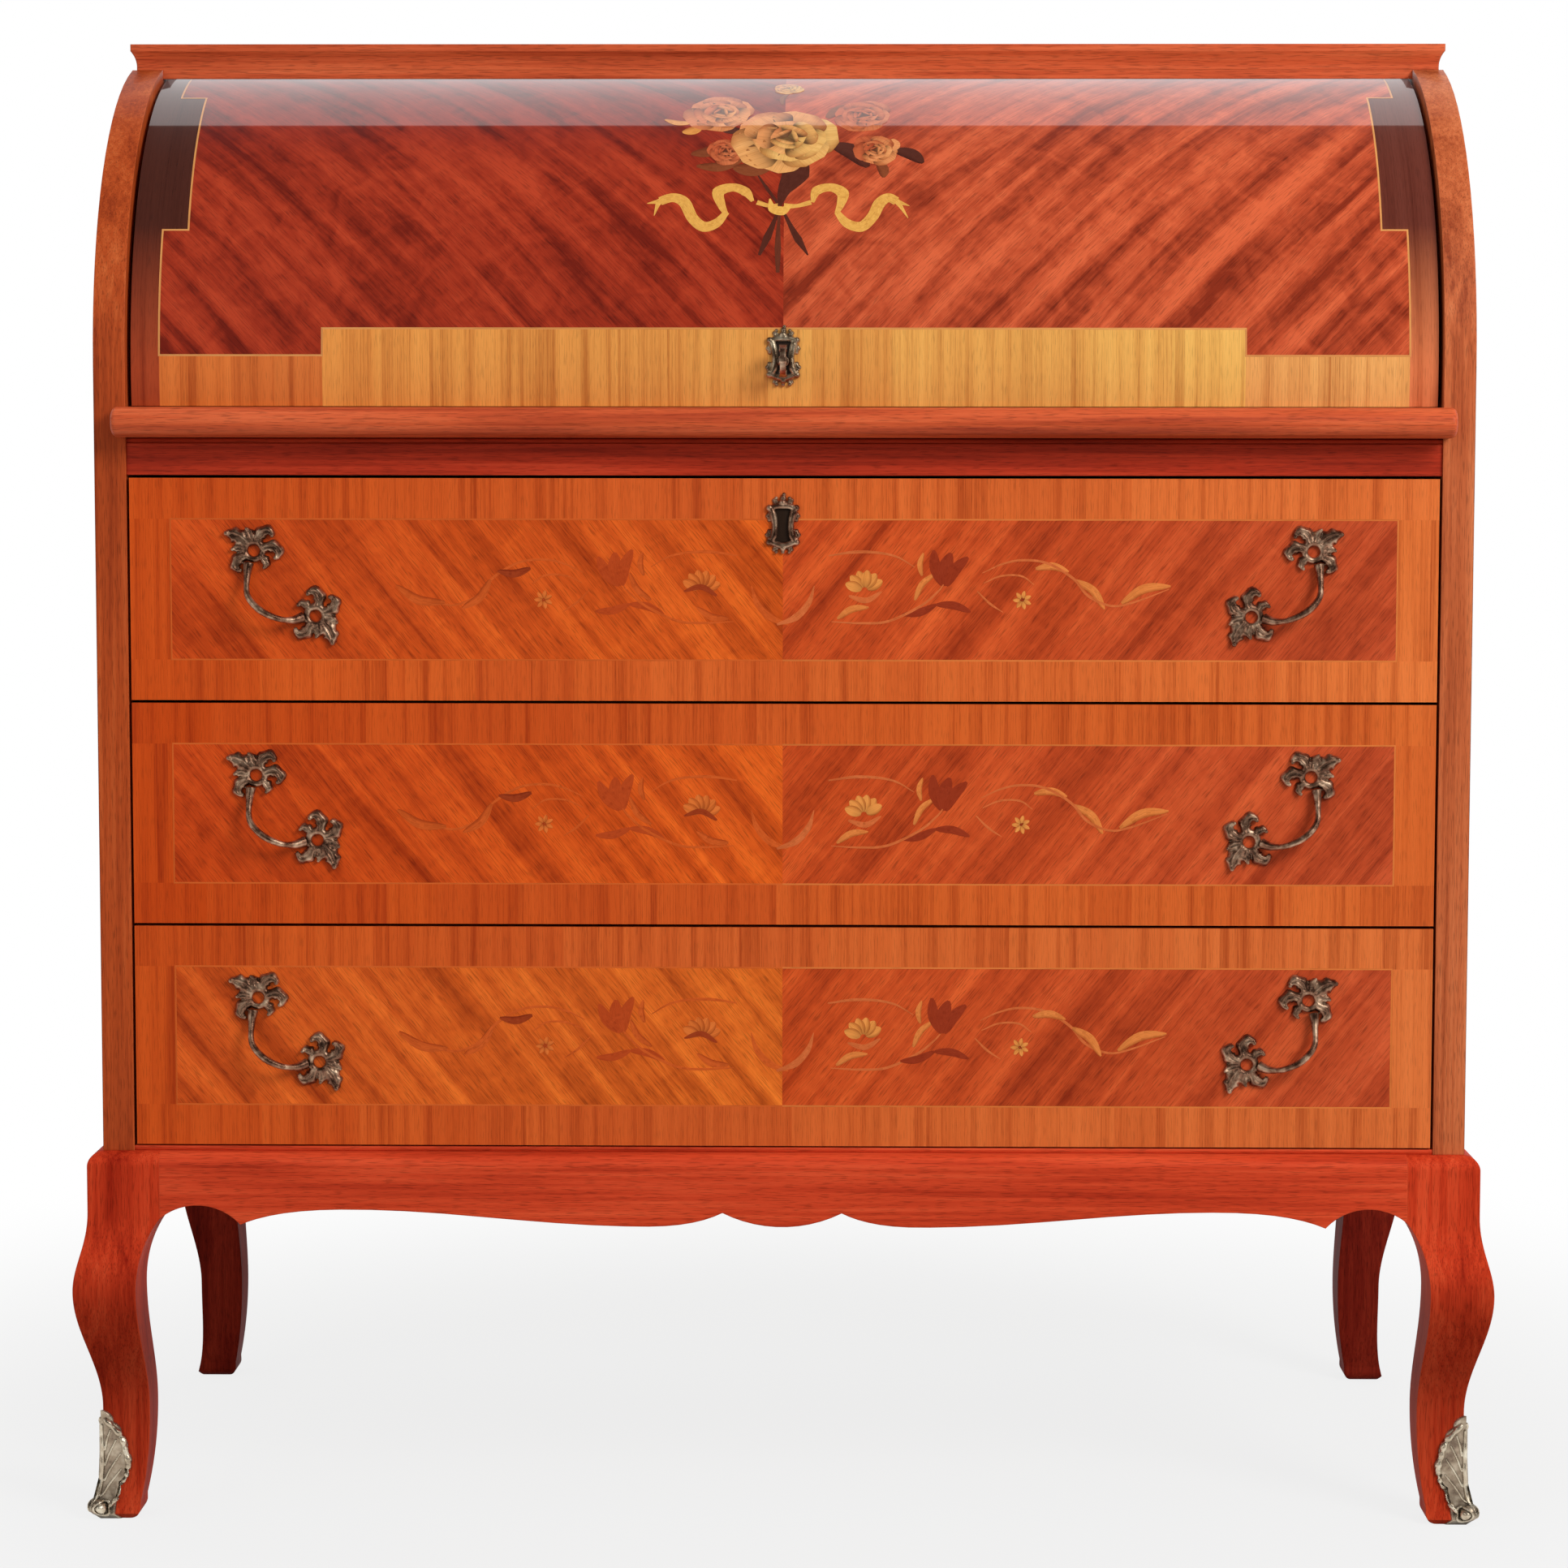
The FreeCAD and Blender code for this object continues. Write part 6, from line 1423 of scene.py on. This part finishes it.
def sabot_leaf_mesh():
    """Rim, veins and scroll eye of both halves of one leaf; the leg's corner is the upright in the middle."""
    wax = bmesh.new()
    for side in (-1, 1):
        line = smooth_line([(side * across, up, 0.5) for across, up in SABOT_RIM], 12)
        lobes = [1.2 + 1.1 * abs(math.sin(math.pi * RIM_LOBES * step / RIM_STEPS)) for step in range(RIM_STEPS + 1)]
        round_bar(wax, line, lobes, 8)
        for vein in SABOT_VEINS:
            round_bar(wax, smooth_line([(side * across, up, 0.1) for across, up in vein]), [0.9, 1.0, 0.7], 8)
        eye = Vector((side * SCROLL_EYE[0], SCROLL_EYE[1], 0.4))
        bead(wax, eye, EYE_RADIUS, 0.5)
        eyelet(wax, (eye.x, eye.y), *EYE_RING)
    round_bar(wax, [Vector((0, up, 0.3)) for up in range(8, 70, 3)], [1.2, 1.6, 1.0], 8)
    return cast(wax, 0.30 * MM, 0.35)


def on_sabot(hand, side):
    """The skin of one sabot: metres round from its outer corner, up from the floor, and out."""
    metal_skin = nodes["sabot_" + hand].data
    skin = BVHTree.FromPolygons([spot.co for spot in metal_skin.vertices],
                                [face.vertices for face in metal_skin.polygons])
    low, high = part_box("sabot_" + hand)
    outside = max(high.x, -low.x)

    def from_front(across, up):
        return skin.ray_cast(Vector((side * across, low.y - RAY_START, up)), Vector((0, 1, 0)))

    def from_side(deep, up):
        return skin.ray_cast(Vector((side * (outside + RAY_START), deep, up)), Vector((-side, 0, 0)))

    felt = []
    for level in range(1, FELT_LEVELS):
        sides = [from_side(low.y + step * MM, level * MM)[0] for step in range(1, FELT_REACH)]
        fronts = [from_front(outside - step * MM, level * MM)[0] for step in range(1, FELT_REACH)]
        if any(sides) and any(fronts):
            felt.append(Vector((max(side * spot.x for spot in sides if spot), min(spot.y for spot in fronts if spot))))
    around = [felt[max(0, number - SMOOTHED_OVER):number + SMOOTHED_OVER + 1] for number in range(len(felt))]
    corner = [sum(spots, Vector((0, 0))) / len(spots) for spots in around]

    def surface(round_corner, up, height):
        place = min(max(up / MM - 1, 0), len(corner) - 1.01)
        edge = corner[int(place)].lerp(corner[int(place) + 1], place % 1)
        across = edge.x - max(0, round_corner + CORNER_ROUND)
        deep = edge.y + max(0, CORNER_ROUND - round_corner)
        hit = from_front(across, up) if round_corner >= 0 else from_side(deep, up)
        if hit[0] is None:
            hit = skin.find_nearest(Vector((side * across, deep, up)))
        return hit[0] + hit[1] * height

    return surface


sabot_leaf = sabot_leaf_mesh()
for hand, side in (("left", -1), ("right", 1)):
    place_casting(f"sabot_{hand}_chasing", ((sabot_leaf, 1),), on_sabot(hand, side), "carcase", rubbed_bronze)

# %% [markdown]
# ## Screws in the back
# The oak back is held by slotted screws round its edge, seen only when the desk stands free. A head is
# two half-domes with the slot between them, and one is copied to each place.

# %% Screws round the back panel
back_low, back_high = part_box("back_panel")
SCREW_INSET = 14.0
DOME = ((4.0, -0.3), (4.0, 0.5), (3.2, 1.1), (1.4, 1.4))
SLOT_HALF = 0.45
SCREWS_UP = 6
SCREWS_ACROSS = 5


def screw_head(heads, across, up, turn):
    """A slotted head; the turn is where its slot came to rest, in degrees."""
    for facing in (turn, turn + 180):
        ahead = aimed(math.radians(facing))
        aside = Vector((-ahead.y, ahead.x))
        rings = []
        for radius, height in DOME:
            arc = [math.radians(step) for step in range(-80, 81, 20)]
            rings.append([Vector((*(Vector((across, up)) + ahead * (SLOT_HALF + radius * math.cos(angle))
                                    + aside * radius * math.sin(angle)), height)) for angle in arc])
        close_tube(heads, rings)


def on_back(across, up, height):
    """A place on the back panel: metres from its middle, up from its foot, and out behind it."""
    return Vector((across, back_high.y + height, back_low.z + up))


heads = bmesh.new()
back_half, back_tall = back_high.x / MM - SCREW_INSET, (back_high.z - back_low.z) / MM
for step in range(SCREWS_UP):
    up = SCREW_INSET + (back_tall - 2 * SCREW_INSET) * step / (SCREWS_UP - 1)
    for side in (-1, 1):
        screw_head(heads, side * back_half, up, random.uniform(0, 180))
middle_screw = (SCREWS_ACROSS + 1) // 2
for step in range(1, SCREWS_ACROSS + 1):
    for up in (SCREW_INSET, back_tall - SCREW_INSET):
        screw_head(heads, back_half * (step - middle_screw) / middle_screw, up, random.uniform(0, 180))
screw_mesh = bpy.data.meshes.new("screws")
heads.to_mesh(screw_mesh)
heads.free()
place_casting("back_screws", ((screw_mesh, 1),), on_back, "carcase", iron)

# %% [markdown]
# ## A flag before the right softbox
# From the left, the round polish would mirror the right softbox as a hard white bar across the flowers. A
# photographer holds a black card, a flag, between the two. Light linking does the same here: the softbox's
# gleam leaves out the veneers of the cylinder, and its plain light still reaches them.

# %% Flag before the right softbox
flagged = bpy.data.collections.new("kept_from_gleam")
for part in ("field", "bands", "stringing", "bouquet", "ribbon"):
    flagged.objects.link(bpy.data.objects["cylinder_" + part])
for entry in flagged.collection_objects:
    entry.light_linking.link_state = "EXCLUDE"
gleam.light_linking.receiver_collection = flagged

# %% Update the scene
bpy.context.view_layer.update()
